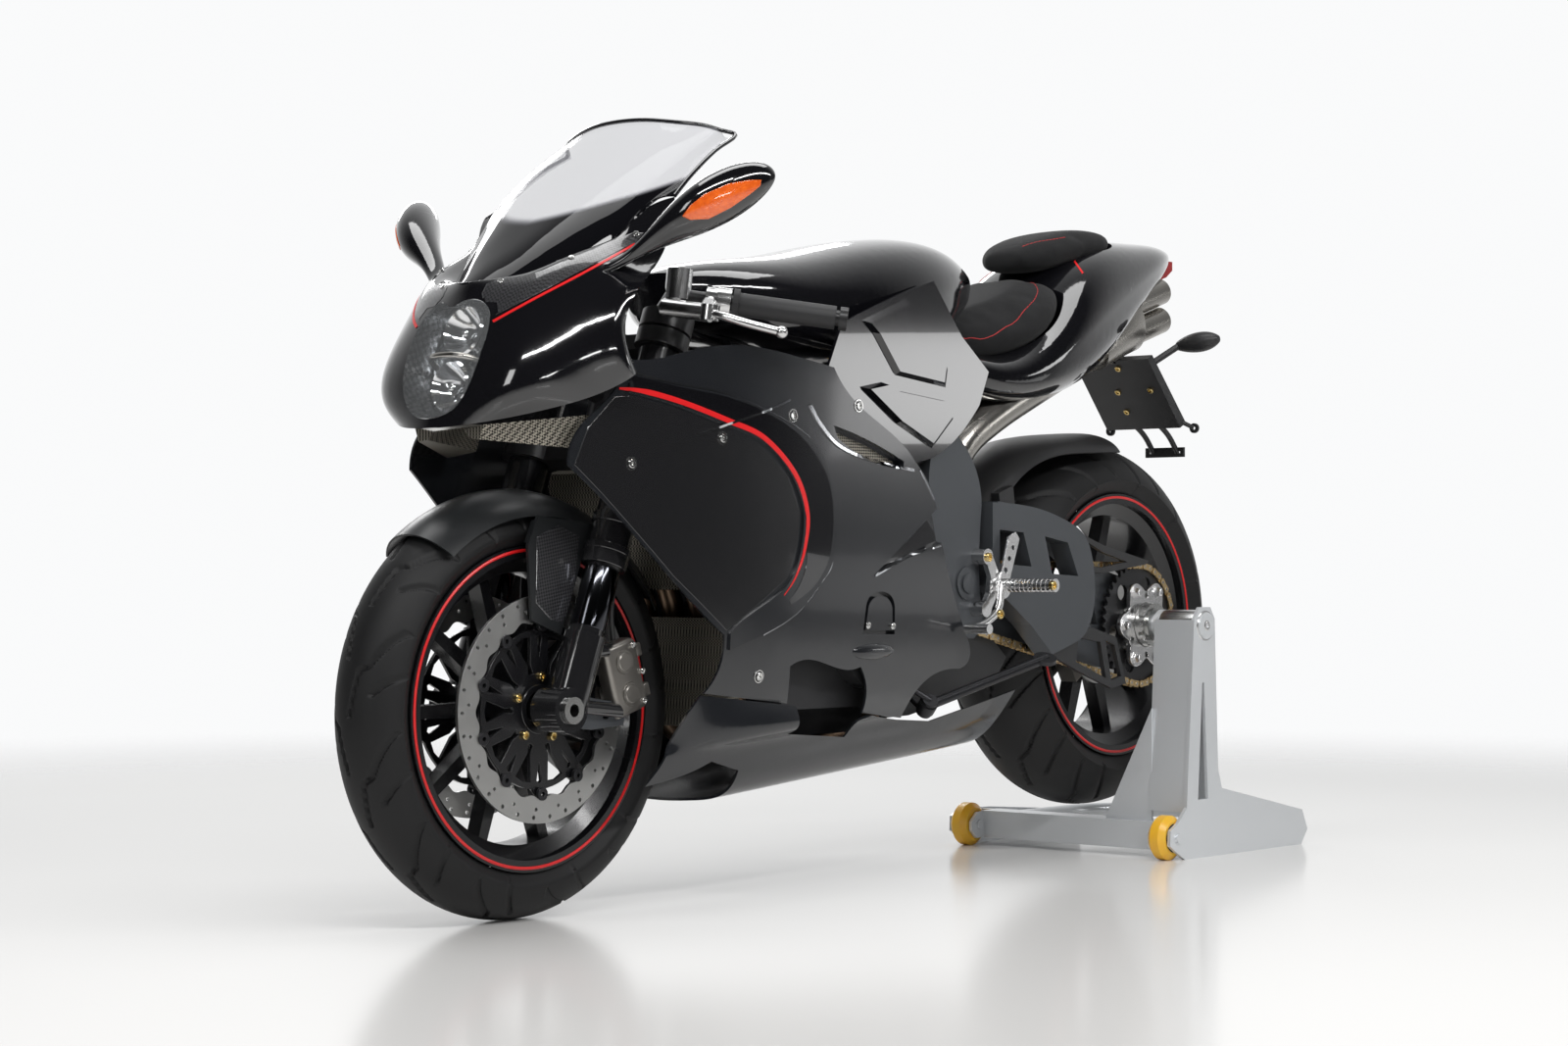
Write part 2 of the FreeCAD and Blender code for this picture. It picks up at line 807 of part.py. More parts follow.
def grip_point(share):
    """A point on the left grip's axis: 0 at its inner end, 1 at its outer end."""
    return tuple(low + (high - low) * share for low, high in zip(GRIP_INNER, GRIP_OUTER))


def handlebar(side):
    """A clip-on bar with its ring on the fork leg."""
    offset = float(size.fork_offset)
    y = float(size.fork_spacing)
    low = along_axis(size.upper_clamp_height) + float(size.clamp_thickness) / 2 + 4
    collar = steered(Part.makeCylinder(float(size.fork_sleeve_radius) + 9, 26, V(offset, y, low)))
    hole = steered(Part.makeCylinder(float(size.fork_sleeve_radius) + BORE_FIT, 200, V(offset, y, low - 100)))
    arm = bar((fork_x(868) + 22, 112, 868), grip_point(-0.62), 13)
    rod = bar(grip_point(-0.62), grip_point(1.06), size.bar_radius)
    knob = bar(grip_point(1.04), grip_point(1.12), size.grip_radius)
    shape = joined([collar, arm, rod, knob]).cut(hole)
    return shape if side > 0 else mirrored(shape)


handlebars = together("handlebars", [shaped("handlebar_" + word, handlebar(side)) for word, side in SIDES])


def grip(side):
    """A rubber grip on its bar."""
    shape = bar(grip_point(0.0), grip_point(1.0), size.grip_radius)
    flange = bar(grip_point(-0.03), grip_point(0.03), float(size.grip_radius) + 5)
    hole = bar(grip_point(-0.2), grip_point(1.3), float(size.bar_radius) + BORE_FIT)
    shape = joined([shape, flange]).cut(hole)
    return shape if side > 0 else mirrored(shape)


grips = together("grips", [shaped("grip_" + word, grip(side)) for word, side in SIDES])


def hand_control(side):
    """A master cylinder with its reservoir, perch and lever."""
    perch = bar(grip_point(-0.30), grip_point(-0.18), 19)
    switch = bar(grip_point(-0.19), grip_point(-0.05), 21)
    hole = bar(grip_point(-0.8), grip_point(0.3), float(size.bar_radius) + BORE_FIT)
    bridge = bar(grip_point(-0.24), (546, 214, 862), 12)
    cylinder = bar((562, 150, 872), (546, 226, 860), 13)
    pot = bar((536, 152, 884), (530, 152, 928), 19)
    neck = bar((552, 158, 870), (537, 154, 892), 8)
    knuckle = bar((548, 224, 850), (546, 226, 872), 14)
    lever = tube([(547, 226, 860), (552, 250, 856), (534, 285, 843), (505, 318, 832)], 6)
    ball = Part.makeSphere(9, V(502, 321, 831))
    shape = joined([perch, switch, bridge, cylinder, pot, neck, knuckle, lever, ball]).cut(hole)
    shape = largest(shape.cut(handlebar(1)))
    return shape if side > 0 else mirrored(shape)


hand_controls = together("hand_controls", [
    shaped("hand_control_" + word, hand_control(side)) for word, side in SIDES])

FENDER_HALF = 66
FENDER_FRONT = 52
FENDER_REAR = 150
BRACKET_INNER = 76
BRACKET_OUTER = 81


def front_fender_shape():
    """A fender close round the tyre with the brackets that carry it on the legs."""
    inner = float(size.front_tyre_radius + size.fender_gap)
    wall = float(size.fender_wall)
    half = FENDER_HALF
    crown = half * 1.18
    skirt = inner - crown + math.sqrt(crown ** 2 - half ** 2)
    inward = (V(skirt, -half, 0), V(inner, 0, 0), V(skirt, half, 0))
    outer = (V(skirt, -half - wall, 0), V(inner + wall, 0, 0), V(skirt, half + wall, 0))
    sides = [
        Part.Arc(*inward).toShape(), Part.LineSegment(inward[2], outer[2]).toShape(),
        Part.Arc(*outer).toShape(), Part.LineSegment(outer[0], inward[0]).toShape()]
    face = Part.Face(Part.Wire(Part.sortEdges(sides)[0]))
    shell = face.revolve(V(0, 0, 0), V(0, 1, 0), -(FENDER_REAR - FENDER_FRONT))
    shell.rotate(V(0, 0, 0), V(0, 1, 0), -FENDER_FRONT)
    shell.translate(V(float(front_axle[0]), 0, float(front_axle[1])))
    plates = []
    for side in (1, -1):
        plate = straight_slab([(757, 425), (700, 404), (648, 537), (625, 560), (745, 572), (765, 530)],
                              BRACKET_INNER, BRACKET_OUTER)
        step = straight_slab([(652, 534), (632, 556), (742, 566), (756, 534)], half - 2, BRACKET_OUTER)
        both = plate.fuse(step)
        plates.append(both if side > 0 else mirrored(both))
    whole = joined([shell] + plates)
    for leg in fork_leg_shapes:
        whole = whole.cut(leg)
    return largest(whole)


front_fender = shaped("front_fender", front_fender_shape())


# Rear wheel pieces
WHEEL_NUT_RADIUS = 34
FLANGE_RADIUS = 58


def rear_axle_shape():
    """The hollow rear axle: flange in the wheel, sprocket flange outside and both nuts."""
    x, z = float(rear_axle[0]), float(rear_axle[1])
    plane = float(size.sprocket_plane)

    def drum(low_y, high_y, radius):
        return Part.makeCylinder(float(radius), high_y - low_y, V(x, low_y, z), V(0, 1, 0))

    shaft_tube = drum(-52, plane + 44, float(size.axle_tube_radius))
    nut = drum(-52, -18.3, WHEEL_NUT_RADIUS + 6)
    lobes = [drum(plane + 3.3, plane + 13, FLANGE_RADIUS - 14)]
    for step in range(6):
        angle = math.radians(60 * step + 20)
        lobe = Part.makeCylinder(13, 9.7, V(x + 50 * math.cos(angle), plane + 3.3, z + 50 * math.sin(angle)),
                                 V(0, 1, 0))
        lobes.append(lobe)
    outer_nut = drum(plane + 13, plane + 40, WHEEL_NUT_RADIUS + 4)
    hole = drum(-60, plane + 60, float(size.stand_pin_radius + size.running_gap))
    return joined([shaft_tube, nut, outer_nut] + lobes).cut(hole)


rear_axle_tube = shaped("rear_axle", rear_axle_shape())

rear_disc = ring(
    "rear_disc", rear_axle, size.rear_disc_plane - size.rear_disc_thickness / 2,
    size.rear_disc_plane + size.rear_disc_thickness / 2, size.rear_disc_radius,
    size.axle_tube_radius + SEAT_GAP)


def toothed(centre, teeth, pitch_radius, low_y, high_y, hole):
    """A flat toothed wheel for the chain."""
    count = int(round(float(teeth)))
    tip = float(pitch_radius + size.tooth_height)
    root = float(pitch_radius) - 4.6
    points = []
    for tooth in range(count):
        for share, radius in ((-0.34, root), (-0.09, tip), (0.09, tip), (0.34, root)):
            angle = 2 * math.pi * (tooth + share) / count
            points.append(V(float(centre[0]) + radius * math.cos(angle), low_y,
                            float(centre[1]) + radius * math.sin(angle)))
    blank = Part.Face(Part.makePolygon(points + points[:1])).extrude(V(0, high_y - low_y, 0))
    drill = Part.makeCylinder(hole, high_y - low_y + 2, V(float(centre[0]), low_y - 1, float(centre[1])),
                              V(0, 1, 0))
    return blank.cut(drill)


tooth_half = float(size.sprocket_thickness) / 2
rear_sprocket_shape = toothed(
    rear_axle, size.rear_teeth, rear_pitch_radius, float(size.sprocket_plane) - tooth_half,
    float(size.sprocket_plane) + tooth_half, float(size.axle_tube_radius) + SEAT_GAP)
for step in range(6):
    slot_angle = math.radians(60 * step + 50)
    slot_x = float(rear_axle[0]) + 74 * math.cos(slot_angle)
    slot_z = float(rear_axle[1]) + 74 * math.sin(slot_angle)
    slot = Part.makeCylinder(14, 40, V(slot_x, float(size.sprocket_plane) - 20, slot_z), V(0, 1, 0))
    rear_sprocket_shape = rear_sprocket_shape.cut(slot)
rear_sprocket = shaped("rear_sprocket", rear_sprocket_shape)
front_sprocket = shaped("front_sprocket", toothed(
    front_sprocket_centre, size.front_teeth, front_pitch_radius, float(size.sprocket_plane) - tooth_half,
    float(size.sprocket_plane) + tooth_half, 10))


# Chain
def chain_loop(offset, y):
    """The closed line of the chain, moved outwards by an offset."""
    rear = V(float(rear_axle[0]), y, float(rear_axle[1]))
    front = V(float(front_sprocket_centre[0]), y, float(front_sprocket_centre[1]))
    along = (front - rear).normalize()
    upwards = V(-along.z, 0, along.x)
    lean = (float(rear_pitch_radius) - float(front_pitch_radius)) / rear.distanceToPoint(front)
    straight = math.sqrt(1 - lean ** 2)
    top = along * lean + upwards * straight
    bottom = along * lean - upwards * straight
    rear_radius = float(rear_pitch_radius) + offset
    front_radius = float(front_pitch_radius) + offset
    edges = [
        Part.LineSegment(rear + top * rear_radius, front + top * front_radius).toShape(),
        Part.Arc(front + top * front_radius, front + along * front_radius, front + bottom * front_radius).toShape(),
        Part.LineSegment(front + bottom * front_radius, rear + bottom * rear_radius).toShape(),
        Part.Arc(rear + bottom * rear_radius, rear - along * rear_radius, rear + top * rear_radius).toShape(),
    ]
    return Part.Wire(edges)


def chain_band(inner, outer, width):
    """The band between two offsets of the chain's line."""
    low = float(size.sprocket_plane) - width / 2
    whole = Part.Face(chain_loop(outer, low)).extrude(V(0, width, 0))
    middle = Part.Face(chain_loop(inner, low - 1)).extrude(V(0, width + 2, 0))
    return whole.cut(middle)


half_link = float(size.chain_height) / 2
chain_shape = chain_band(-half_link, half_link, float(size.chain_width)).cut(
    chain_band(-half_link - 2, float(size.tooth_height) + 0.6, float(size.chain_groove)))
chain = shaped("chain", chain_shape)


# Swingarm
def swingarm_shape():
    """A one-sided arm that the chain runs through, with its hub housing."""
    x, z = float(rear_axle[0]), float(rear_axle[1])
    front_x, front_z = float(pivot[0]), float(pivot[1])
    wall_low, wall_high = float(size.arm_wall_inner), float(size.arm_wall_outer)
    cover_low, cover_high = float(size.arm_cover_inner), float(size.arm_cover_outer)
    housing = float(size.hub_housing_radius)
    tube_radius = float(size.pivot_tube_radius)

    def drum(centre_x, centre_z, low_y, high_y, radius):
        return Part.makeCylinder(radius, high_y - low_y, V(centre_x, low_y, centre_z), V(0, 1, 0))

    wall = slab([
        [(front_x + 20, front_z + 30), (front_x - 60, front_z + 118), (-330, 592), (-450, 545), (x + 90, z + 98),
         (x, z + housing)],
        [(x, z + housing), (x - housing, z), (x, z - housing)],
        [(x, z - housing), (-560, 330), (-440, 352), (-300, 372), (front_x - 50, front_z - 62),
         (front_x + 20, front_z - 36)],
        [(front_x + 20, front_z - 36), (front_x + 20, front_z + 30)],
    ], wall_low, wall_high)
    beam = straight_slab([(front_x, front_z + 60), (-300, 590), (-332, 540), (-332, 430), (front_x, front_z - 50)],
                         30, wall_high)
    cover = slab([
        [(-186, 604), (-229, 603), (-310, 596), (-394, 576), (-450, 546), (-470, 500), (-472, 440), (-460, 405),
         (-421, 374)],
        [(-421, 374), (-351, 354)],
        [(-351, 354), (-290, 404)],
        [(-290, 404), (-186, 470)],
        [(-186, 470), (-186, 604)],
    ], cover_low, cover_high)
    web = straight_slab([(-200, 606), (-320, 594), (-400, 572), (-400, 556), (-320, 574), (-200, 586)],
                        wall_low, cover_high)
    pieces = [
        wall, beam, cover, web,
        drum(front_x, front_z, -134, wall_high, tube_radius),
        drum(x, z, float(size.hub_housing_inner), wall_high, housing),
    ]
    arm = joined(pieces)
    windows = [
        straight_slab([(-205, 560), (-270, 556), (-292, 500), (-205, 505)], cover_low - 20, cover_high + 5),
        straight_slab([(-330, 550), (-395, 540), (-425, 484), (-350, 488)], cover_low - 20, cover_high + 5),
        straight_slab([(-345, 545), (-430, 522), (-560, 440), (-575, 400), (-350, 400)],
                      wall_low - 5, wall_high + 5),
    ]
    holes = [
        drum(front_x, front_z, -300, 300, float(size.pivot_bolt_radius + size.running_gap)),
        drum(x, z, 0, 300, float(size.axle_tube_radius + size.running_gap)),
    ]
    for tool in windows + holes:
        arm = arm.cut(tool)
    clear = Part.makeCylinder(float(size.rear_tyre_radius) + 8, 298, V(x, -200, z), V(0, 1, 0))
    inside = Part.makeCylinder(205, 298, V(x, -200, z), V(0, 1, 0))
    return arm.cut(clear.cut(inside))


swingarm = shaped("swingarm", swingarm_shape())


# Frame, engine and what is bolted to them
HEAD_TUBE_GAP = 0.5


def frame_trellis_shape():
    """The head tube and the steel tubes that run back to the side plates."""
    low = along_axis(size.lower_clamp_height) + float(size.clamp_thickness) / 2 + HEAD_TUBE_GAP
    high = along_axis(size.upper_clamp_height) - float(size.clamp_thickness) / 2 - HEAD_TUBE_GAP
    head = steered(Part.makeCylinder(float(size.head_tube_radius), high - low, V(0, 0, low)))
    hole = steered(Part.makeCylinder(
        float(size.stem_radius + size.running_gap), high - low + 2, V(0, 0, low - 1)))
    upper_front = (float(steering_x(762)) - 8, 0, 762)
    lower_front = (float(steering_x(690)) - 8, 0, 690)
    tubes = []
    for side in (1, -1):
        upper_knee = (330, side * 118, 762)
        upper_rear = (-70, side * 150, 690)
        lower_knee = (330, side * 128, 668)
        lower_rear = (-70, side * 150, 560)
        tubes += [
            bar(upper_front, upper_knee, 15),
            bar(upper_knee, upper_rear, 15),
            bar(lower_front, lower_knee, 15),
            bar(lower_knee, lower_rear, 15),
            bar(upper_knee, lower_knee, 12),
            bar(lower_knee, (130, side * 134, 730), 12),
            bar((130, side * 134, 730), (120, side * 141, 617), 12),
            bar((120, side * 141, 617), upper_rear, 12),
            Part.makeSphere(15.2, V(*upper_knee)),
            Part.makeSphere(15.2, V(*lower_knee)),
        ]
    tubes.append(bar((330, -118, 762), (330, 118, 762), 12))
    return joined([head] + tubes).cut(hole)


def frame_plates_shape():
    """The cast side plates with the swingarm bolt and the cross tubes between them."""
    low = float(size.plate_inner)
    high = low + float(size.plate_thickness)
    outline = [
        [(-60, 716), (-84, 722)],
        [(-84, 722), (-120, 700), (-160, 650), (-172, 600)],
        [(-172, 600), (-166, 540), (-166, 470), (-177, 402)],
        [(-177, 402), (-150, 384)],
        [(-150, 384), (-64, 392)],
        [(-64, 392), (-48, 470), (-40, 560), (-34, 640), (-60, 716)],
    ]
    pieces = [slab(outline, low, high), slab(outline, -high, -low)]
    x, z = float(pivot[0]), float(pivot[1])
    pieces.append(Part.makeCylinder(float(size.pivot_bolt_radius), 2 * high + 12, V(x, -high - 6, z), V(0, 1, 0)))
    pieces.append(Part.makeCylinder(26, 4, V(x, high - 1, z), V(0, 1, 0)))
    pieces.append(Part.makeCylinder(26, 4, V(x, -high - 3, z), V(0, 1, 0)))
    pieces.append(bar((-120, -low - 4, 640), (-120, low + 4, 640), 16))
    return joined(pieces)


frame_trellis_whole = frame_trellis_shape()
frame_plates_whole = frame_plates_shape()
frame_plates = shaped("frame_plates", frame_plates_whole)
frame_trellis = shaped("frame_trellis", frame_trellis_whole.cut(frame_plates_whole))


def engine_shape():
    """The engine as one plain block: crankcase, gearbox, leaning cylinders and sump."""
    crankcase = straight_slab([(10, 285), (300, 285), (322, 330), (300, 470), (10, 500)], -150, 150)
    gearbox = straight_slab([(-82, 330), (20, 300), (20, 500), (-40, 505), (-82, 470)], -134, 106)
    cylinders = straight_slab([(120, 460), (300, 440), (395, 610), (330, 652), (215, 650)], -118, 118)
    sump = straight_slab([(40, 240), (230, 240), (262, 292), (20, 292)], -80, 80)
    clutch_cover = Part.makeCylinder(88, 32, V(110, 148, 400), V(0, 1, 0))
    generator_cover = Part.makeCylinder(70, 38, V(205, -186, 380), V(0, 1, 0))
    return joined([crankcase, gearbox, cylinders, sump, clutch_cover, generator_cover])


engine = shaped("engine", engine_shape().cut(frame_trellis_whole).cut(frame_plates_whole))

RADIATOR_DEPTH = 32


def radiators_shape():
    """The tilted water radiator above and the oil cooler below it."""
    axle = float(front_axle[0])
    foot, top = axle - 275, axle - 237
    upper = straight_slab([(foot, 466), (top, 640), (top - RADIATOR_DEPTH, 648), (foot - RADIATOR_DEPTH, 474)],
                          -162, 162)
    foot, top = axle - 317, axle - 330
    lower = straight_slab([(foot, 262), (top, 424), (top + 4 - RADIATOR_DEPTH, 422),
                           (foot + 4 - RADIATOR_DEPTH, 260)], -132, 132)
    return upper, lower


upper_radiator, lower_radiator = radiators_shape()
radiators = together("radiators", [
    shaped("upper_radiator", upper_radiator), shaped("lower_radiator", lower_radiator)])


# Bodywork
SIDE_LEVELS = (
    (120, 116), (200, 152), (280, 182), (400, 202), (520, 207), (640, 207), (760, 206), (860, 200))
SIDE_STATIONS = (860, 700, 520, 300, 100, -120, -340)


def side_y(x, level_y):
    """How far out the side stands at a station, from its width at a height."""
    narrowing = 0.0
    if x > 300:
        narrowing = 46 * ((x - 300) / 480) ** 2
    if x < 60:
        narrowing = 34 * ((60 - x) / 400) ** 2
    return level_y * float(size.side_width) / 207 - narrowing


side_face = surface([[(x, side_y(x, y), z) for z, y in SIDE_LEVELS] for x in SIDE_STATIONS])
side_wall = side_face.extrude(V(0, -float(size.panel_wall), 0))

SIDE_OUTLINE = [
    [(672, 791), (627, 792), (539, 811), (465, 821), (396, 819), (248, 799)],
    [(248, 799), (179, 738), (101, 699), (50, 661)],
    [(50, 661), (0, 600), (-12, 554)],
    [(-12, 554), (-37, 485), (-63, 434), (-102, 377)],
    [(-102, 377), (-105, 352), (-81, 338)],
    [(-81, 338), (33, 299), (52, 265)],
    [(52, 265), (511, 318)],
    [(511, 318), (488, 350), (482, 402)],
    [(482, 402), (585, 481), (713, 597), (767, 640)],
    [(767, 640), (740, 700), (690, 745), (672, 791)],
]
SCOOP_OUTLINE = [
    [(338, 353), (300, 362), (240, 350), (174, 348)],
    [(174, 348), (150, 300), (174, 240)],
    [(174, 240), (330, 252)],
    [(330, 252), (338, 353)],
]
CREST_OUTLINE = [
    [(664, 772), (574, 757), (491, 749), (406, 729), (317, 696)],
    [(317, 696), (268, 645), (252, 571), (256, 510), (279, 480)],
    [(279, 480), (335, 432), (404, 402), (473, 380)],
    [(473, 380), (474, 404)],
    [(474, 404), (404, 446), (352, 480), (329, 528), (323, 580)],
    [(323, 580), (350, 634), (414, 683), (485, 704), (570, 726), (668, 744)],
    [(668, 744), (664, 772)],
]
COVER_WINDOW = [
    [(176, 398), (172, 438)],
    [(172, 438), (163, 455), (136, 462), (111, 455), (101, 438)],
    [(101, 438), (98, 396)],
    [(98, 396), (176, 398)],
]
COVER_ISLAND = [
    [(170, 404), (166, 436)],
    [(166, 436), (158, 449), (136, 455), (116, 449), (107, 436)],
    [(107, 436), (104, 402)],
    [(104, 402), (170, 404)],
]
COVER_BACK = [
    [(184, 390), (182, 440)],
    [(182, 440), (170, 463), (136, 471), (104, 463), (92, 440)],
    [(92, 440), (90, 388)],
    [(90, 388), (184, 390)],
]
VENT = [
    [(250, 712), (160, 690), (80, 662)],
    [(80, 662), (84, 651)],
    [(84, 651), (130, 654), (186, 668), (242, 694)],
    [(242, 694), (250, 712)],
]
VENT_BACK = [
    [(262, 724), (70, 670)], [(70, 670), (76, 642)],
    [(76, 642), (252, 684)], [(252, 684), (262, 724)]]
NOTCH = [[(150, 490), (-60, 628)], [(-60, 628), (-60, 550)], [(-60, 550), (150, 490)]]
NOTCH_BACK = [
    [(164, 482), (24, 594)], [(24, 594), (-2, 586)],
    [(-2, 586), (-20, 522)], [(-20, 522), (164, 482)]]
CREST_RISE = 4
BACK_LAP = 1.3


def side_layer(outer, inner):
    """A layer along the side surface, between two distances out from it."""
    return side_face.translated(V(0, float(outer), 0)).extrude(V(0, float(inner) - float(outer), 0))


def recessed(panel, opening, back, depth, island=None):
    """A panel with a pocket that has a floor behind the wall."""
    floor = side_layer(-BACK_LAP, -depth - 3).common(slab(back, 60, 320))
    room = side_layer(8, -depth).common(slab(opening, 60, 320))
    if island:
        room = room.cut(slab(island, 60, 320))
    return panel.fuse(floor).cut(room)


def bump(x, y, z, half_length, half_width, half_height):
    """A long rounded swelling."""
    stretch = FreeCAD.Matrix()
    stretch.scale(half_length / half_height, half_width / half_height, 1.0)
    ball = Part.makeSphere(half_height).transformGeometry(stretch)
    return ball.translated(V(x, y, z))


def side_fairing_shape():
    """The left side panel: its raised crest, scoop, engine cover, vent and rear notch."""
    panel = side_wall.common(slab(SIDE_OUTLINE, 60, 320)).cut(slab(SCOOP_OUTLINE, 60, 320))
    panel = panel.fuse(side_layer(CREST_RISE, -BACK_LAP).common(slab(CREST_OUTLINE, 60, 320)))
    panel = recessed(panel, COVER_WINDOW, COVER_BACK, 9, COVER_ISLAND)
    panel = recessed(panel, VENT, VENT_BACK, 16)
    panel = recessed(panel, NOTCH, NOTCH_BACK, 10)
    swelling = bump(148, 197, 371, 52, 10, 13)
    return panel.fuse(swelling.cut(side_layer(-2, -60)))


side_fairing_left_shape = side_fairing_shape()
side_fairing_left = shaped("side_fairing_left", side_fairing_left_shape)
side_fairing_right = shaped("side_fairing_right", mirrored(side_fairing_left_shape))

BELLY_STATIONS = (670, 460, 300, 120, -60, -180, -310)


def belly_low(x):
    """The height of the belly's lower line at a station."""
    return float(size.belly_height + size.belly_rise * (530 - x))


def belly_ring(x):
    """The left half of the belly's cross-section, from the seam to the middle."""
    low = belly_low(x)
    squeeze = 0.0
    if x > 300:
        squeeze = 26 * ((x - 300) / 300) ** 2
    if x < 0:
        squeeze = 22 * (x / 310) ** 2
    top = max(low + 110, 318)
    return [
        (x, 190 - squeeze, top), (x, 178 - squeeze, low + 90), (x, 158 - squeeze, low + 46),
        (x, 128 - squeeze, low + 12), (x, 66, low), (x, 0, low - 3)]


def belly_row(x):
    """The whole cross-section of the belly from side to side."""
    half = belly_ring(x)
    return half + [(point[0], -point[1], point[2]) for point in reversed(half[:-1])]


belly_face = surface([belly_row(x) for x in BELLY_STATIONS])
belly_wall = walled(belly_face, size.panel_wall, V(150, 0, 600))
BELLY_GAP = 3
BELLY_OUTLINE = [
    [(511, 318 - BELLY_GAP), (52, 265 - BELLY_GAP)],
    [(52, 265 - BELLY_GAP), (-40, 256)],
    [(-40, 256), (-272, 298)],
    [(-272, 298), (-242, 246), (-218, 206)],
    [(-218, 206), (-218, 120)],
    [(-218, 120), (655, 100)],
    [(655, 100), (605, 150), (550, 255), (511, 318 - BELLY_GAP)],
]
WHEEL_ROOM = ((408, 156), (470, 159), (640, 121), (700, 110))
wheel_room_corners = [V(x, y, 50) for x, y in WHEEL_ROOM] + [V(x, -y, 50) for x, y in reversed(WHEEL_ROOM)]
wheel_room = Part.Face(Part.makePolygon(wheel_room_corners + wheel_room_corners[:1])).extrude(V(0, 0, 400))
belly_pan = shaped("belly_pan", belly_wall.common(slab(BELLY_OUTLINE, -300, 300)).cut(
    slab(SCOOP_OUTLINE, -300, 300)).cut(wheel_room))

COWL_ROWS = (
    ((882, 0, 692), (872, 52, 694), (837, 112, 704), (780, 165, 722), (722, 200, 746), (677, 206, 772)),
    ((868, 0, 745), (866, 60, 745), (852, 122, 750), (808, 168, 764), (744, 202, 782), (697, 209, 802)),
    ((850, 0, 800), (849, 58, 800), (836, 116, 806), (794, 166, 816), (742, 204, 828), (706, 213, 840)),
    ((828, 0, 860), (822, 50, 862), (806, 100, 868), (768, 150, 878), (718, 192, 886), (677, 213, 890)),
    ((811, 0, 892), (792, 42, 894), (752, 80, 909), (700, 116, 937), (645, 150, 975), (578, 186, 1026)),
)


def both_sides(row):
    """A row of points from the middle outwards, made whole by symmetry."""
    return [(x, -y, z) for x, y, z in reversed(row[1:])] + list(row)


cowl_face = surface([both_sides(row) for row in COWL_ROWS])
cowl_wall = walled(cowl_face, size.nose_wall, V(600, 0, 800))
LAMP_OPENING = [
    (0, 866), (36, 872), (62, 858), (76, 800), (66, 746), (44, 716), (16, 706),
    (-16, 706), (-44, 716), (-66, 746), (-76, 800), (-62, 858), (-36, 872)]


def lamp_prism(grown, low_x, high_x):
    """The headlight's outline seen from ahead, grown and drawn along X."""
    middle = 790
    points = []
    for y, z in LAMP_OPENING:
        share = 1 + grown / 80
        points.append(V(low_x, y * share, middle + (z - middle) * share))
    curve = Part.BSplineCurve()
    curve.interpolate(points, PeriodicFlag=True)
    return Part.Face(Part.Wire(curve.toShape())).extrude(V(high_x - low_x, 0, 0))


nose_fairing = shaped("nose_fairing", cowl_wall.cut(lamp_prism(0, 500, 1000)))
lamp_face = surface([[(x + 0.5, y, z) for x, y, z in both_sides(row)] for row in COWL_ROWS])
lamp_block = lamp_face.extrude(V(-90, 0, 0)).common(lamp_prism(-0.4, 600, 1000))
headlight = shaped("headlight", lamp_block)

SCREEN_ROWS = (
    ((811, 0, 893.5), (792, 42, 895.5), (752, 80, 910.5), (700, 116, 938.5), (645, 150, 976.5),
     (578, 186, 1027.5)),
    ((738, 0, 950), (728, 46, 955), (694, 90, 972), (648, 128, 1000), (600, 158, 1030), (540, 184, 1062)),
    ((622, 0, 1050), (614, 50, 1055), (592, 96, 1066), (558, 136, 1082), (524, 162, 1092),
     (486, 180, 1102)),
    ((500, 0, 1160), (496, 52, 1158), (484, 98, 1152), (466, 136, 1146), (450, 158, 1138),
     (435, 174, 1130)),
)
SCREEN_WALL = 3
screen_face = surface([both_sides(row) for row in SCREEN_ROWS])
windscreen = shaped("windscreen", largest(walled(screen_face, SCREEN_WALL, V(500, 0, 900)).cut(cowl_wall)))

TANK_RINGS = (
    (422, 907, 56, 34),
    (353, 904, 108, 58),
    (218, 900, 138, 81),
    (77, 905, 152, 103),
    (-57, 925, 150, 105),
    (-157, 944, 128, 85),
    (-239, 958, 92, 46),
)


def tank_shape():
    """The fuel tank, as one solid body."""
    return lofted([section(*row) for row in TANK_RINGS])


tank = shaped("tank", tank_shape())

UPPER_FACET = ((146, 880), (36, 922), (12, 852), (-78, 812), (-72, 782), (62, 796), (120, 862))
LOWER_FACET = ((152, 777), (98, 787), (66, 776), (-66, 764), (-92, 735), (-34, 684), (60, 722))
SIDE_COVER = [
    [(188, 872), (118, 900), (-37, 952)],
    [(-37, 952), (-111, 868)],
    [(-111, 868), (-182, 815)],
    [(-182, 815), (-157, 760)],
    [(-157, 760), (53, 672), (113, 705)],
    [(113, 705), (188, 775), (223, 800)],
    [(223, 800), (188, 872)],
]


def facet(corners, low_y, high_y):
    """A raised field with sloping sides."""
    middle_x = sum(corner[0] for corner in corners) / len(corners)
    middle_z = sum(corner[1] for corner in corners) / len(corners)
    rings = []
    for y, share in ((low_y, 1.0), (high_y, 0.84)):
        points = [V(middle_x + (x - middle_x) * share, y, middle_z + (z - middle_z) * share)
                  for x, z in corners]
        rings.append(Part.makePolygon(points + points[:1]))
    return Part.makeLoft(rings, True, True)


def side_cover(side):
    """The gloss cover between tank and frame, with the block that carries it on the tank."""
    shape = slab(SIDE_COVER, 167.5, 173).fuse(
        straight_slab([(62, 905), (-24, 930), (-56, 885), (36, 862)], 130, 168))
    shape = shape.fuse(facet(UPPER_FACET, 170, 181)).fuse(facet(LOWER_FACET, 170, 183))
    if side < 0:
        shape = mirrored(shape)
    return largest(shape.cut(tank.Shape))


side_covers = together("side_covers", [
    shaped("side_cover_" + word, side_cover(side)) for word, side in SIDES])

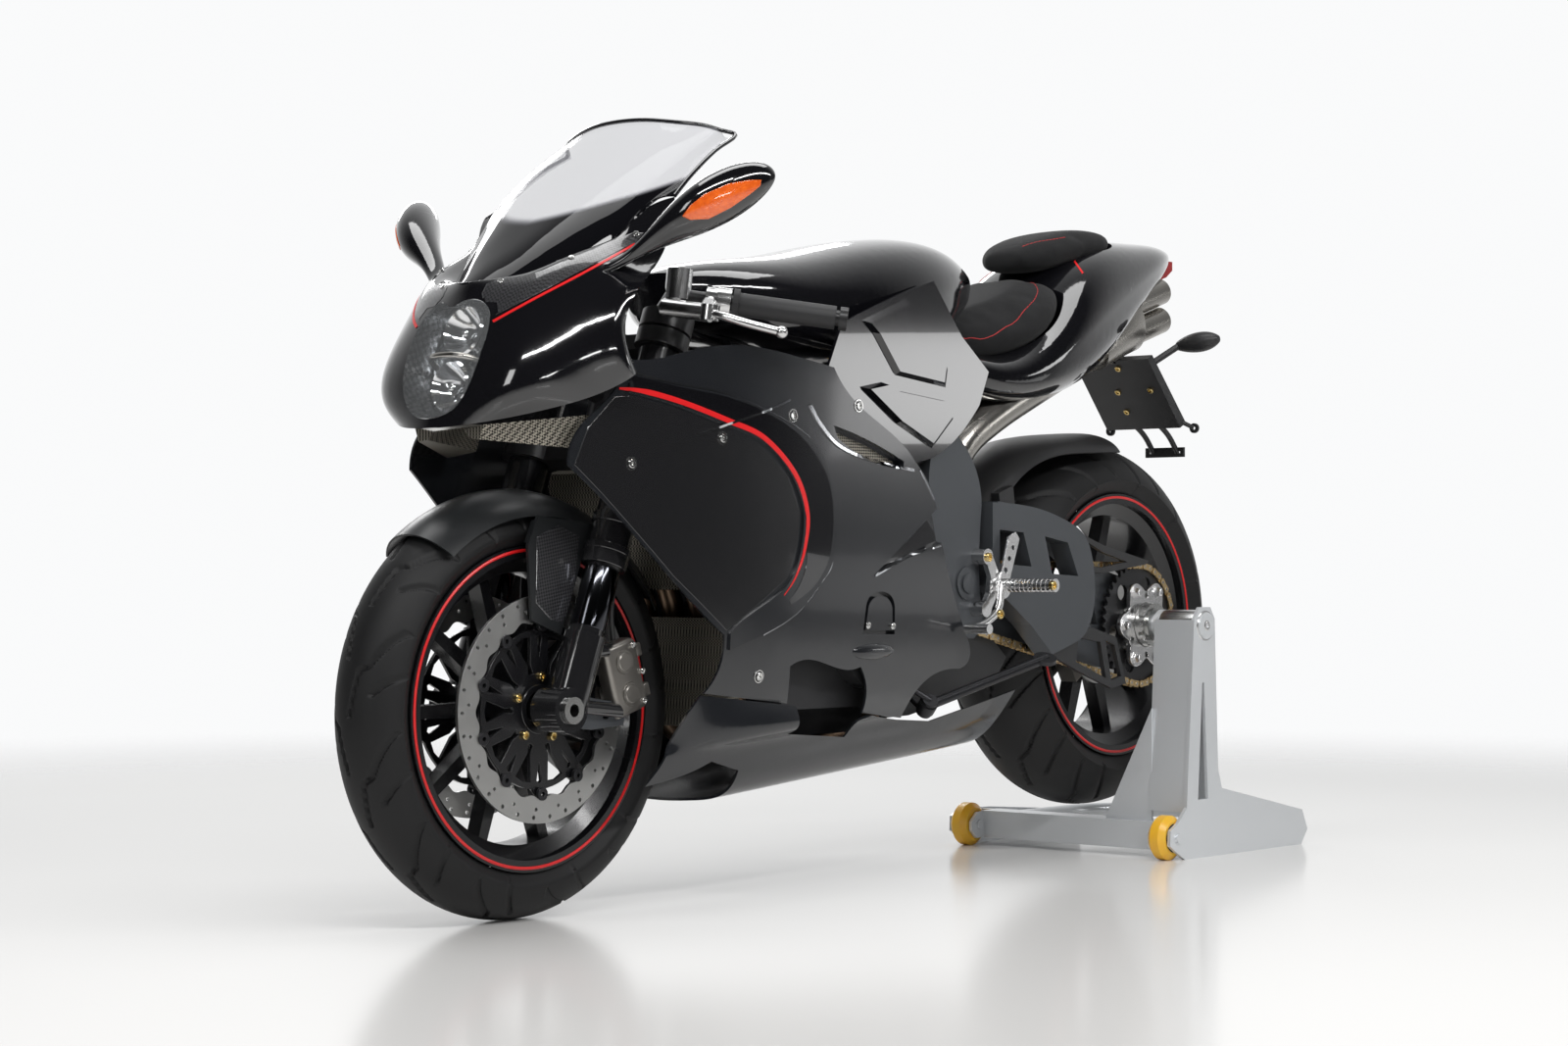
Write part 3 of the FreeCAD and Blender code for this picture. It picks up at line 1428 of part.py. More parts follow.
TAIL_RINGS = (
    (-191, 822, 118, 30),
    (-277, 812, 140, 44),
    (-397, 838, 152, 66),
    (-517, 905, 150, 110),
    (-637, 965, 132, 106),
    (-757, 1018, 106, 64),
    (-857, 1052, 72, 32),
    (-927, 1070, 20, 8),
)
tail_whole = lofted([section(*row) for row in TAIL_RINGS])
SEAT_RINGS = (
    (-183, 880, 66, 18),
    (-237, 878, 92, 34),
    (-337, 896, 128, 48),
    (-427, 930, 132, 50),
    (-482, 960, 108, 40),
)
PILLION_RINGS = (
    (-447, 1026, 40, 14),
    (-487, 1036, 74, 28),
    (-577, 1056, 90, 32),
    (-657, 1068, 86, 26),
    (-689, 1070, 60, 14),
)
seat_block = lofted([section(*row) for row in SEAT_RINGS])
pillion_block = lofted([section(*row) for row in PILLION_RINGS])


# Exhaust
TIP_RADIUS = 24
TIP_HEIGHTS = (1000, 948)


def exhaust_link_shape(grown):
    """The pipes that rise behind the engine and run under the tail to the four tips."""
    pieces = []
    for side in (1, -1):
        pieces.append(tube([(-152, side * 62, 574), (-190, side * 66, 644), (-240, side * 72, 712),
                            (-330, side * 76, 762), (-470, side * 74, 820), (-640, side * 60, 884)], 33 + grown))
        pieces.append(lofted([
            oval((-628, side * 60, 878), (-124, side * -6, 68), 38 + grown, 38 + grown),
            oval((-692, side * 57, 910), (-124, side * -4, 56), 41 + grown, 46 + grown),
            oval((-756, side * 53, 940.5), (-114, 0, 36), 38 + grown, 56 + grown)]))
        for high_z in TIP_HEIGHTS:
            pieces.append(bar((-748, side * 52, high_z - 36), (-862, side * 52, high_z), TIP_RADIUS + grown))
    pieces.append(bar((-152, -66, 588), (-152, 66, 588), 29 + grown))
    return joined(pieces)


def tip_holes():
    """The open ends of the four tips."""
    holes = []
    for side in (1, -1):
        for high_z in TIP_HEIGHTS:
            start = V(-748, side * 52, high_z - 36)
            along = V(-862, side * 52, high_z) - start
            holes.append(bar(start + along * 0.3, start + along * 1.3, TIP_RADIUS - 3))
    return holes


exhaust_whole = exhaust_link_shape(0)
for hole in tip_holes():
    exhaust_whole = exhaust_whole.cut(hole)
exhaust_room = exhaust_link_shape(6)
exhaust_link = shaped("exhaust_link", exhaust_whole.cut(frame_plates_whole))
tail_shape = tail_whole.cut(seat_block).cut(pillion_block).cut(tank.Shape).cut(exhaust_room)
tail_unit = shaped("tail_unit", tail_shape)
seat = shaped("seat", seat_block.cut(tank.Shape).cut(pillion_block))
pillion_pad = shaped("pillion_pad", pillion_block)


def exhaust_headers_shape():
    """Four header pipes that bend under the engine into the collector."""
    pieces = []
    for y in (-84, -28, 28, 84):
        pieces.append(tube([(350, y, 562), (392, y, 520), (348, y, 440), (340, y, 300), (300, y * 0.9, 246),
                            (230, y * 0.6, 206), (120, y * 0.3, 206)], 17))
    pieces.append(cone((146, 0, 210), (-40, 0, 238), 27, 31))
    pieces.append(tube([(-20, 0, 236), (-90, 0, 252), (-120, 0, 330)], 29))
    return largest(joined(pieces).cut(engine.Shape))


exhaust_headers = shaped("exhaust_headers", exhaust_headers_shape())

# Side stand, folded back
STAND_PIVOT = V(-13, 178, 281)
STAND_FOOT = V(-263, 225, 350)
STAND_AXIS = V(-0.384, -0.682, -0.623).normalize()
STAND_PIN_RADIUS = 6
STAND_EYE_LENGTH = 18
stand_leg = (STAND_FOOT - STAND_PIVOT).normalize()
stand_axis = (STAND_AXIS - stand_leg * STAND_AXIS.dot(stand_leg)).normalize()


def side_stand_shape():
    """The leg with its eye and its foot."""
    eye = Part.makeCylinder(15, STAND_EYE_LENGTH, STAND_PIVOT - stand_axis * (STAND_EYE_LENGTH / 2), stand_axis)
    hole = Part.makeCylinder(
        STAND_PIN_RADIUS + float(size.running_gap), 60, STAND_PIVOT - stand_axis * 30, stand_axis)
    shank_start = STAND_PIVOT + stand_leg * 10
    shank = Part.makeCylinder(8, shank_start.distanceToPoint(STAND_FOOT) + 4, shank_start, stand_leg)
    sole = Part.makeCylinder(19, 7, STAND_FOOT - V(0, 0, 3.5), V(0.25, 0.35, 0.9))
    return eye.cut(hole).fuse(shank).fuse(sole)


side_stand = shaped("side_stand", side_stand_shape())


def side_stand_bracket_shape():
    """Two ears and a pin that carry the side stand under the left side plate."""
    reach = STAND_EYE_LENGTH / 2 + 0.5
    room = Part.makeCylinder(17, 2 * reach, STAND_PIVOT - stand_axis * reach, stand_axis)
    ears = Part.makeCylinder(13, 2 * reach + 12, STAND_PIVOT - stand_axis * (reach + 6), stand_axis).cut(room)
    pin = Part.makeCylinder(
        STAND_PIN_RADIUS, 2 * reach + 8, STAND_PIVOT - stand_axis * (reach + 4), stand_axis)
    inner = STAND_PIVOT + stand_axis * (reach + 5)
    outer = STAND_PIVOT - stand_axis * (reach + 5)
    arms = [bar(inner, V(-6, 100, 335), 5), bar(outer, V(34, 140, 330), 5)]
    return largest(ears.multiFuse([pin] + arms).cut(engine.Shape))


side_stand_bracket = shaped("side_stand_bracket", side_stand_bracket_shape())


# Paddock stand
PLATE = 6
BEAM_LOW = 14
BEAM_HIGH = 62
COLUMN_INNER = 186
HANDLE_RADIUS = 13
roller_height = size.roller_radius


def paddock_stand_shape():
    """The rear stand: pin, upright channel, side plates, cross beam and handle."""
    x, z = float(rear_axle[0]), float(rear_axle[1])
    roll_x, roll_z = float(size.roller_x), float(roller_height)
    half_roller = float(size.roller_width) / 2 + 1.5
    left_face = float(size.left_roller_y) + half_roller
    right_face = float(size.right_roller_y) - half_roller
    inner_left = float(size.left_roller_y) - half_roller
    inner_right = float(size.right_roller_y) + half_roller
    rear = float(size.stand_rear_x)
    pin_radius = float(size.stand_pin_radius)
    pin_end = float(size.stand_pin_end)

    def drum(centre_x, centre_z, low_y, high_y, radius):
        return Part.makeCylinder(radius, high_y - low_y, V(centre_x, low_y, centre_z), V(0, 1, 0))

    side_plate = straight_slab([
        (x - 30, z + 12), (x - 16, z + 32), (x + 18, z + 32), (x + 35, z + 10), (roll_x - 28, 88),
        (roll_x - 2, roll_z + 26), (roll_x + 22, roll_z + 14), (roll_x + 24, roll_z - 12), (roll_x + 4, 14),
        (roll_x - 22, 0), (rear + 34, 0), (rear + 12, 26), (rear + 30, 62), (x - 52, 116), (x - 40, 150)],
        left_face, left_face + PLATE)
    slot = straight_slab([(x + 4, 300), (x + 10, 300), (x + 24, 100), (x - 8, 100)],
                         left_face - 1, left_face + PLATE + 1)
    low_plate = straight_slab([
        (roll_x - 2, roll_z + 26), (roll_x + 22, roll_z + 14), (roll_x + 24, roll_z - 12), (roll_x + 4, 14),
        (roll_x - 22, 0), (rear + 60, 0), (rear + 60, 40), (roll_x - 90, BEAM_HIGH)], right_face - PLATE, right_face)
    front_sheet = straight_slab([(x + 35, z + 10), (x + 29, z + 10), (roll_x - 37, BEAM_HIGH + 18),
                                 (roll_x - 31, BEAM_HIGH + 18)], COLUMN_INNER, left_face + 1)
    rear_sheet = straight_slab([(x - 30, z + 12), (x - 24, z + 12), (x - 36, BEAM_HIGH - 4),
                                (x - 42, BEAM_HIGH - 4)], COLUMN_INNER + 30, left_face + 1)
    gusset = Part.Face(Part.makePolygon([
        V(roll_x - 40, COLUMN_INNER + 4, 255), V(roll_x - 40, COLUMN_INNER + 4, BEAM_HIGH - 4),
        V(roll_x - 40, 92, BEAM_HIGH - 4), V(roll_x - 40, COLUMN_INNER + 4, 255)])).extrude(V(5, 0, 0))
    beam = Part.makeBox(52, inner_left - inner_right, BEAM_HIGH - BEAM_LOW, V(roll_x - 66, inner_right, BEAM_LOW))
    ear = [(roll_x + 22, roll_z + 6), (roll_x + 4, roll_z + 22), (roll_x - 60, BEAM_HIGH), (roll_x - 60, BEAM_LOW),
           (roll_x + 8, BEAM_LOW), (roll_x + 22, roll_z - 10)]
    ears = [straight_slab(ear, inner_left - PLATE, inner_left), straight_slab(ear, inner_right, inner_right + PLATE)]
    web_x = roll_x - 56
    webs = [
        Part.makeBox(8, left_face - inner_left + 2, BEAM_HIGH - BEAM_LOW, V(web_x, inner_left - 1, BEAM_LOW)),
        Part.makeBox(8, inner_right - right_face + 2, BEAM_HIGH - BEAM_LOW, V(web_x, right_face - 1, BEAM_LOW)),
    ]
    roller_pin = float(size.roller_pin_radius)
    bolts = [
        drum(roll_x, roll_z, inner_left - PLATE - 3, left_face + PLATE + 4, roller_pin),
        drum(roll_x, roll_z, right_face - PLATE - 4, inner_right + PLATE + 3, roller_pin),
    ]
    handle_z = 44
    back = rear + HANDLE_RADIUS
    left_run = left_face - HANDLE_RADIUS + 3
    right_run = inner_right + 14
    handle = tube([
        (roll_x - 60, right_run, handle_z), (back, right_run, handle_z), (back, left_run, handle_z),
        (roll_x - 140, left_run, handle_z)], HANDLE_RADIUS)
    strut = Part.makeBox(40, right_run - right_face, 10, V(rear + 110, right_face - 1, handle_z - 5))
    pin = drum(x, z, 70, pin_end - 4, pin_radius)
    sleeve = drum(x, z, float(size.sprocket_plane) + 52, left_face + PLATE, pin_radius + 7)
    cap = drum(x, z, left_face + PLATE, pin_end, pin_radius + 3)
    sheets = [side_plate.cut(slot), low_plate, front_sheet, rear_sheet, gusset]
    pieces = sheets + [beam, handle, strut, pin, sleeve, cap]
    return joined(pieces + ears + webs + bolts)


paddock_stand = shaped("paddock_stand", paddock_stand_shape())


def stand_roller(name, centre_y):
    """One soft-faced roller on its bolt."""
    body = new_body(name)
    half = size.roller_width / 2
    bore = size.roller_pin_radius + size.running_gap
    outline = (
        (bore, -half),
        (size.roller_radius - 9, -half),
        (size.roller_radius, -half + 9),
        (size.roller_radius, half - 9),
        (size.roller_radius - 9, half),
        (bore, half),
    )
    body.Tip = turned(body, outline)
    return place(body, size.roller_x, centre_y, roller_height)


roller_left = stand_roller("stand_roller_left", size.left_roller_y)
roller_right = stand_roller("stand_roller_right", size.right_roller_y)


# Smaller pieces of the chassis
HUGGER_ROWS = ((29, 446), (38, 428), (50, 400), (62, 368), (74, 345), (89, 336))
HUGGER_HALF = 92
HUGGER_WALL = 3


def rear_hugger_shape():
    """The mudguard over the front of the rear tyre, with its stay on the arm."""
    x, z = float(rear_axle[0]), float(rear_axle[1])
    rows = []
    for angle, radius in HUGGER_ROWS:
        row = []
        for share, drop in ((-1.0, 34), (-0.72, 13), (-0.36, 3), (0.0, 0), (0.36, 3), (0.72, 13), (1.0, 34)):
            reach = radius - drop
            turn = math.radians(angle)
            row.append((x + reach * math.cos(turn), HUGGER_HALF * share, z + reach * math.sin(turn)))
        rows.append(row)
    shell = walled(surface(rows), HUGGER_WALL, V(x, 0, z + 900))
    stay = straight_slab([(-306, 622), (-346, 636), (-356, 566), (-318, 566)], HUGGER_HALF - 8, 101)
    return joined([shell, stay])


rear_hugger = shaped("rear_hugger", largest(rear_hugger_shape().cut(swingarm.Shape)))


def chain_guards_shape():
    """The upper fin and the lower open fin beside the chain."""
    upper = straight_slab([
        (-455, 558), (-468, 554), (-530, 536), (-666, 510), (-660, 504), (-524, 488), (-455, 494)],
                          150, 158)
    upper = upper.cut(straight_slab([(-480, 542), (-528, 524), (-600, 508), (-522, 498), (-482, 502)], 140, 170))
    lower = straight_slab([(-343, 360), (-440, 324), (-537, 292), (-581, 299), (-552, 379), (-479, 397), (-400, 390)],
                          160, 168)
    lower = lower.cut(straight_slab([(-432, 340), (-520, 310), (-504, 372), (-440, 380)], 140, 190))
    lower = lower.cut(straight_slab([(-536, 306), (-566, 312), (-546, 366), (-520, 374)], 140, 190))
    return upper, lower


upper_guard, lower_guard = [largest(shape.cut(swingarm.Shape)) for shape in chain_guards_shape()]
chain_guards = together("chain_guards", [
    shaped("upper_chain_guard", upper_guard), shaped("lower_chain_guard", lower_guard)])


def rear_shock_shape():
    """The upright damper with its spring, ahead of the rear wheel."""
    return joined([
        bar((-215, 0, 428), (-215, 0, 694), 17),
        bar((-215, 0, 480), (-215, 0, 630), 26),
        straight_slab([(-222, 684), (-226, 668), (-138, 634), (-136, 652)], -9, 9),
        Part.makeBox(22, 29.7, 24, V(-226, 0, 442)),
    ])


rear_shock = shaped("rear_shock", rear_shock_shape())

HANGER_Y = 180
HANGER_THICK = 9


def footrest_shape():
    """The left hanger with its peg, heel guard and pedal."""
    high = HANGER_Y + HANGER_THICK
    foot = HANGER_Y - float(size.plate_inner + size.plate_thickness)
    plate = joined([
        straight_slab([(-146, 526), (-166, 526), (-186, 492), (-206, 488), (-208, 454), (-180, 450), (-160, 420),
                       (-140, 424), (-162, 458), (-166, 484)], HANGER_Y, high),
        Part.makeCylinder(13, foot + HANGER_THICK + 2, V(-156, HANGER_Y - foot, 516), V(0, 1, 0)),
        Part.makeCylinder(13, foot + HANGER_THICK + 2, V(-152, HANGER_Y - foot, 432), V(0, 1, 0)),
        Part.makeCylinder(22, HANGER_THICK + 4, V(-196, HANGER_Y - 1, 470), V(0, 1, 0)),
        straight_slab([(-196, 496), (-216, 492), (-250, 556), (-238, 560), (-224, 530)],
                      HANGER_Y + 3, high - 2),
    ])
    peg = Part.makeCylinder(float(size.peg_radius), float(size.peg_length), V(-200, high - 2, 470), V(0, 1, 0))
    pedal = tube([(-188, high + 4, 468), (-156, high + 24, 428), (-112, high + 28, 408), (-72, high + 28, 402)], 6)
    toe = Part.makeCylinder(8, 46, V(-72, high + 22, 402), V(0, 1, 0))
    return joined([plate, peg, pedal, toe])


footrest = footrest_shape().cut(frame_plates_whole).cut(swingarm.Shape)
footrest_left = shaped("footrest_left", largest(footrest))
footrest_right = shaped("footrest_right", mirrored(largest(footrest)))


def plate_holder_shape():
    """The hanging bracket for a number plate, with its two holed arms and lower strip."""
    panel = straight_slab([(-780, 872), (-795, 880), (-905, 762), (-886, 752)], -80, 80)
    web = straight_slab([(-690, 940), (-735, 946), (-804, 874), (-786, 866), (-756, 872)], -8, 8)
    strip = Part.makeBox(5, 84, 18, V(-960, -42, 702))
    pieces = [panel, web, strip]
    for side in (1, -1):
        pieces.append(tube([(-890, side * 26, 764), (-930, side * 26, 742), (-958, side * 26, 711)], 5))
        pieces.append(Part.makeCylinder(9, 5, V(-917, side * 92, 752), V(1, 0, 0)))
        pieces.append(bar((-914.5, side * 92, 752), (-888, side * 70, 768), 4))
        pieces.append(bar((-808, side * 60, 860), (-872, side * 88, 901), 6))
    holder = joined(pieces)
    for side in (1, -1):
        holder = holder.cut(Part.makeCylinder(3.25, 40, V(-930, side * 92, 752), V(1, 0, 0)))
        holder = holder.cut(Part.makeCylinder(2.5, 40, V(-970, side * 32, 711), V(1, 0, 0)))
    return holder


plate_holder_whole = largest(plate_holder_shape().cut(tail_whole).cut(exhaust_whole))
plate_holder = shaped("plate_holder", plate_holder_whole)


def indicator_lamp(side):
    """A rear indicator on the end of its stalk."""
    rings = []
    for x, y, z, radius in ((-872, 84, 900, 8), (-878, 112, 904, 17), (-882, 148, 908, 15), (-884, 164, 910, 6)):
        rings.append(Part.Wire(Part.Circle(V(x, side * y, z), V(-0.1, side, 0.1), radius).toShape()))
    return lofted(rings).cut(plate_holder_whole)


rear_indicators = together("rear_indicators", [
    shaped("rear_indicator_" + word, largest(indicator_lamp(side))) for word, side in SIDES])

tail_lamp = shaped("tail_lamp", largest(straight_slab(
    [(-880, 1022), (-905, 1030), (-925, 1044), (-925, 1060), (-880, 1060)], -38, 38).cut(tail_whole)))

MIRROR_RINGS = (
    (700, 176, 918, 14, 8),
    (676, 208, 940, 20, 11),
    (655, 250, 972, 30, 24),
    (625, 300, 1005, 46, 36),
    (592, size.mirror_tip_y - 23, 1030, 38, 29),
    (570, size.mirror_tip_y, 1040, 6, 4),
)
MIRROR_LEAN = 28


def mirror_shape():
    """The left mirror housing on its swept stalk."""
    rings = []
    for x, y, z, wide, tall in MIRROR_RINGS:
        ring_edge = Part.Ellipse(V(0, 0, 0), float(wide), float(tall)).toShape()
        ring_wire = Part.Wire(ring_edge)
        ring_wire.rotate(V(0, 0, 0), V(1, 0, 0), -90)
        ring_wire.rotate(V(0, 0, 0), V(0, 1, 0), MIRROR_LEAN)
        ring_wire.translate(V(x, float(y), z))
        rings.append(ring_wire)
    outside = [solid for solid in lofted(rings).cut(cowl_wall).Solids]
    return max(outside, key=lambda solid: solid.Volume)


mirror_left_shape = mirror_shape()
mirror_left = shaped("mirror_left", mirror_left_shape)
mirror_right = shaped("mirror_right", mirrored(mirror_left_shape))


def instruments_shape():
    """The dash with its clock and screen, on its stay from the head."""
    head = float(size.head_height)
    dash = straight_slab([(612, head + 72), (640, head + 128), (668, head + 108), (640, head + 56)], -88, 88)
    stay = [
        bar((526, 0, head - 84), (606, 0, head - 52), 12),
        bar((604, 0, head - 54), (654, 0, head + 72), 11),
        bar((606, 0, head - 52), (750, 0, head - 40), 9),
    ]
    wings = [bar((748, -198, head - 40), (748, 198, head - 40), 8)]
    return largest(joined([dash] + stay + wings).cut(frame_trellis_whole).cut(cowl_wall))


instruments = shaped("instruments", instruments_shape())


def intake_duct(side):
    """The mesh-mouthed duct under the nose, from its tip back to the side panel."""
    front = Part.makePolygon([
        V(840, 30, 690), V(840, 44, 678), V(840, 62, 676), V(840, 70, 696), V(840, 30, 690)])
    rear = Part.makePolygon([
        V(684, 96, 706), V(684, 110, 668), V(684, 172, 660), V(684, 184, 716), V(684, 96, 706)])
    shape = Part.makeLoft([front, rear], True, True).cut(cowl_wall)
    shape = largest(shape.cut(side_wall))
    return shape if side > 0 else mirrored(shape)


air_ducts = together("air_ducts", [
    shaped("air_duct_" + word, intake_duct(side)) for word, side in SIDES])

REAR_CALIPER_ANGLE = -32


def rear_caliper_shape():
    """The small caliper under the hub with its bracket on the arm."""
    def turned_piece(shape):
        shape.rotate(V(0, 0, 0), V(0, 1, 0), -REAR_CALIPER_ANGLE)
        shape.translate(V(float(rear_axle[0]), 0, float(rear_axle[1])))
        return shape

    plane = float(size.rear_disc_plane)
    gap = float(size.rear_disc_thickness) / 2 + 5.2
    block = turned_piece(Part.makeBox(52, 32, 72, V(78, 28, -36)))
    slot = Part.makeCylinder(float(size.rear_disc_radius) + 5.2, 2 * gap,
                             V(float(rear_axle[0]), plane - gap, float(rear_axle[1])), V(0, 1, 0))
    bracket = turned_piece(Part.makeCylinder(13, 54, V(96, 50, 0), V(0, 1, 0)))
    hub_room = Part.makeCylinder(float(size.hub_housing_radius) + SEAT_GAP, 60,
                                 V(float(rear_axle[0]), 53, float(rear_axle[1])), V(0, 1, 0))
    return largest(joined([block, bracket]).cut(slot).cut(hub_room).cut(swingarm.Shape))


rear_caliper = shaped("rear_caliper", rear_caliper_shape())

HOSE_RADIUS = 4


def brake_hose(leg, caliper, side):
    """A front brake hose behind its leg, from the lower clamp to the caliper."""
    route = [
        (fork_x(670) - 37, side * 95, 670), (fork_x(500) - 37, side * 95, 500), (610, side * 90, 430),
        (601, side * 88, 388)]
    return largest(tube(route, HOSE_RADIUS).cut(triple_clamps.Shape).cut(caliper).cut(leg))


brake_hoses = together("brake_hoses", [
    shaped("brake_hose_" + word, brake_hose(leg, caliper, side))
    for (word, side), leg, caliper in zip(SIDES, fork_leg_shapes, caliper_shapes)])


# Write the sub-parts
SUB_PARTS = (
    frame_trellis, frame_plates, engine, radiators, side_fairing_left, side_fairing_right, belly_pan, nose_fairing,
    headlight, windscreen, air_ducts, tank, side_covers, tail_unit, tail_lamp, seat, pillion_pad, exhaust_headers,
    exhaust_link, rear_hugger, chain_guards, rear_shock, swingarm, chain, front_sprocket, footrest_left,
    footrest_right, side_stand_bracket, plate_holder, rear_indicators, mirror_left, mirror_right, instruments,
    rear_caliper, paddock_stand, roller_left, roller_right, side_stand, fork_legs, triple_clamps, handlebars, grips,
    hand_controls, front_fender, front_calipers, brake_hoses, front_axle_shaft, front_rim, front_tyre, front_discs,
    front_disc_carriers, rear_rim, rear_tyre, rear_axle_tube, rear_disc, rear_sprocket,
)
document.recompute()
for thing in document.Objects:
    for state in thing.State:
        if state in ("Invalid", "Error"):
            raise RuntimeError("%s is %s" % (thing.Label, state))
for sub_part in SUB_PARTS:
    if sub_part.Shape.isNull() or not sub_part.Shape.isValid():
        raise RuntimeError("%s has no valid shape" % sub_part.Label)
os.makedirs("parts", exist_ok=True)
for sub_part in SUB_PARTS:
    sub_part.Shape.exportStep("parts/%s.step" % sub_part.Label)
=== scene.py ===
import math

import bmesh
import bpy
from mathutils import Matrix, Vector
from mathutils.bvhtree import BVHTree

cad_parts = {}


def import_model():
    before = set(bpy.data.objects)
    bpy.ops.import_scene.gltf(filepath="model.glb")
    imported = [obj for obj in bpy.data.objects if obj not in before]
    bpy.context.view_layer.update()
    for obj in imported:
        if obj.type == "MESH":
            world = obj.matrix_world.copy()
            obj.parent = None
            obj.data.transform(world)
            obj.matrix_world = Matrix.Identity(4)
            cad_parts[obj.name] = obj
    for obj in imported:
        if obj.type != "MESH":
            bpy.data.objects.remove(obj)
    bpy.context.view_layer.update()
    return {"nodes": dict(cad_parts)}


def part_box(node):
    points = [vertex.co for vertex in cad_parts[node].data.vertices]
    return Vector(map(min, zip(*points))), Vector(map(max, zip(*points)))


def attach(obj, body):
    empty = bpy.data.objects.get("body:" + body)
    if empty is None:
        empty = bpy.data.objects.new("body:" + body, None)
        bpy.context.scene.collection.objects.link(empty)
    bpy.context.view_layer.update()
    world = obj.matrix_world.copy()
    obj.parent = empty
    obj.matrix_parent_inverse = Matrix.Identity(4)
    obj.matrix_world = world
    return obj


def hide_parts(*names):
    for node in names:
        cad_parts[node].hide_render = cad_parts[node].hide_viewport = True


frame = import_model()
nodes = frame["nodes"]
scene = bpy.context.scene

# Places and sizes read from the frame
def middle_of(node):
    """The middle of a solid's box."""
    low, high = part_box(node)
    return (low + high) / 2


front_axle = middle_of("front_tyre")
rear_axle = middle_of("rear_tyre")
front_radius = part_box("front_tyre")[1].z - front_axle.z
rear_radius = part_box("rear_tyre")[1].z - rear_axle.z


# Camera, lights and floor
CAMERA_PLACE = Vector((3.6432, 3.0370, 0.5031))
CAMERA_YAW = math.radians(-139.20)
CAMERA_PITCH = math.radians(0.81)
FOCAL_PIXELS = 3007.5
IMAGE_WIDTH = 1600
SENSOR_WIDTH = 36.0
LEVEL = math.cos(CAMERA_PITCH)
AHEAD = Vector((math.cos(CAMERA_YAW) * LEVEL, math.sin(CAMERA_YAW) * LEVEL, math.sin(CAMERA_PITCH)))
ACROSS = AHEAD.cross(Vector((0, 0, 1))).normalized()
UPWARDS = ACROSS.cross(AHEAD)
IMAGE_MIDDLE = Vector((800.0, 533.5))


def linked(name, data):
    """A new object in the scene with its data."""
    thing = bpy.data.objects.new(name, data)
    scene.collection.objects.link(thing)
    return thing


def camera():
    data = bpy.data.cameras.new("camera")
    data.sensor_width = SENSOR_WIDTH
    data.lens = FOCAL_PIXELS / IMAGE_WIDTH * SENSOR_WIDTH
    data.clip_start = 0.05
    thing = linked("camera", data)
    thing.location = CAMERA_PLACE
    thing.rotation_mode = "QUATERNION"
    thing.rotation_quaternion = AHEAD.to_track_quat("-Z", "Y")
    scene.camera = thing


# Each light as name: (place, target, size, power)
SOFTBOXES = {
    "ceiling_box": ((0.1, 0.1, 3.1), (0, 0, 0.4), (2.8, 1.1), 40),
    "key_strip_front": ((2.1, 1.5, 2.5), (0.2, 0, 0.7), (1.9, 0.14), 34),
    "key_strip_side": ((0.2, 2.7, 2.3), (0.0, 0, 0.6), (2.6, 0.20), 42),
    "low_strip": ((1.6, 3.0, 0.55), (0.1, 0, 0.5), (0.9, 0.10), 5),
    "fill_box": ((3.6, 0.6, 1.6), (0.3, 0, 0.5), (0.5, 1.2), 11),
    "far_box": ((-1.4, -2.6, 2.2), (0, 0, 0.6), (2.4, 0.5), 30),
    "left_card_high": ((-2.66, 2.2, 0.98), (0.1, 0.2, 0.8), (0.80, 0.30), 3.0),
    "left_card_low": ((-2.45, 2.2, 0.30), (0.2, 0.2, 0.4), (1.0, 0.34), 0.8),
}


def lights():
    for name, (place, target, size, power) in SOFTBOXES.items():
        data = bpy.data.lights.new(name, "AREA")
        data.shape = "RECTANGLE"
        data.size, data.size_y = size
        data.energy = power
        thing = linked(name, data)
        thing.location = place
        thing.rotation_mode = "QUATERNION"
        thing.rotation_quaternion = (Vector(target) - Vector(place)).to_track_quat("-Z", "Y")


def add_node(tree, kind, values=None, **settings):
    """A shader node with its settings, then the values of its inputs by name or number."""
    made = tree.nodes.new("ShaderNode" + kind)
    for label, value in settings.items():
        setattr(made, label, value)
    for label, value in (values or {}).items():
        made.inputs[label].default_value = value
    return made


def wire(tree, *pairs):
    """Join sockets, each pair as (node, its output, other node, its input)."""
    for source, output, target, entry in pairs:
        tree.links.new(source.outputs[output], target.inputs[entry])


WORLD_COLOUR = (0.955, 0.96, 0.965, 1)
WORLD_TILT = 0.15
UNSEEN_LEVEL = 0.34
REFLECTED_RAMP = {"From Min": 0.05, "From Max": 0.95, "To Min": 0.02, "To Max": 0.9}


def world():
    """A pale room that is seen bright, lights softly, and is reflected darker towards the sides."""
    setting = bpy.data.worlds.new("studio")
    scene.world = setting
    setting.use_nodes = True
    tree = setting.node_tree
    tree.nodes.clear()
    output = add_node(tree, "OutputWorld")
    shade = add_node(tree, "Background", {"Color": WORLD_COLOUR})
    path = add_node(tree, "LightPath")
    place = add_node(tree, "TexCoord")
    turned = add_node(tree, "VectorMath", {1: (math.cos(CAMERA_YAW), math.sin(CAMERA_YAW), WORLD_TILT)},
                      operation="DOT_PRODUCT")
    ramp = add_node(tree, "MapRange", REFLECTED_RAMP)
    straight = add_node(tree, "Math", operation="MAXIMUM")
    level = add_node(tree, "Mix", {"A": UNSEEN_LEVEL})
    final = add_node(tree, "Mix", {"B": 1.0})
    wire(tree, (place, "Generated", turned, 0), (turned, "Value", ramp, "Value"),
         (ramp, "Result", level, "B"), (path, "Is Glossy Ray", level, "Factor"),
         (path, "Is Camera Ray", straight, 0),
         (path, "Is Transmission Ray", straight, 1), (straight, 0, final, "Factor"),
         (level, "Result", final, "A"), (final, "Result", shade, "Strength"),
         (shade, 0, output, "Surface"))


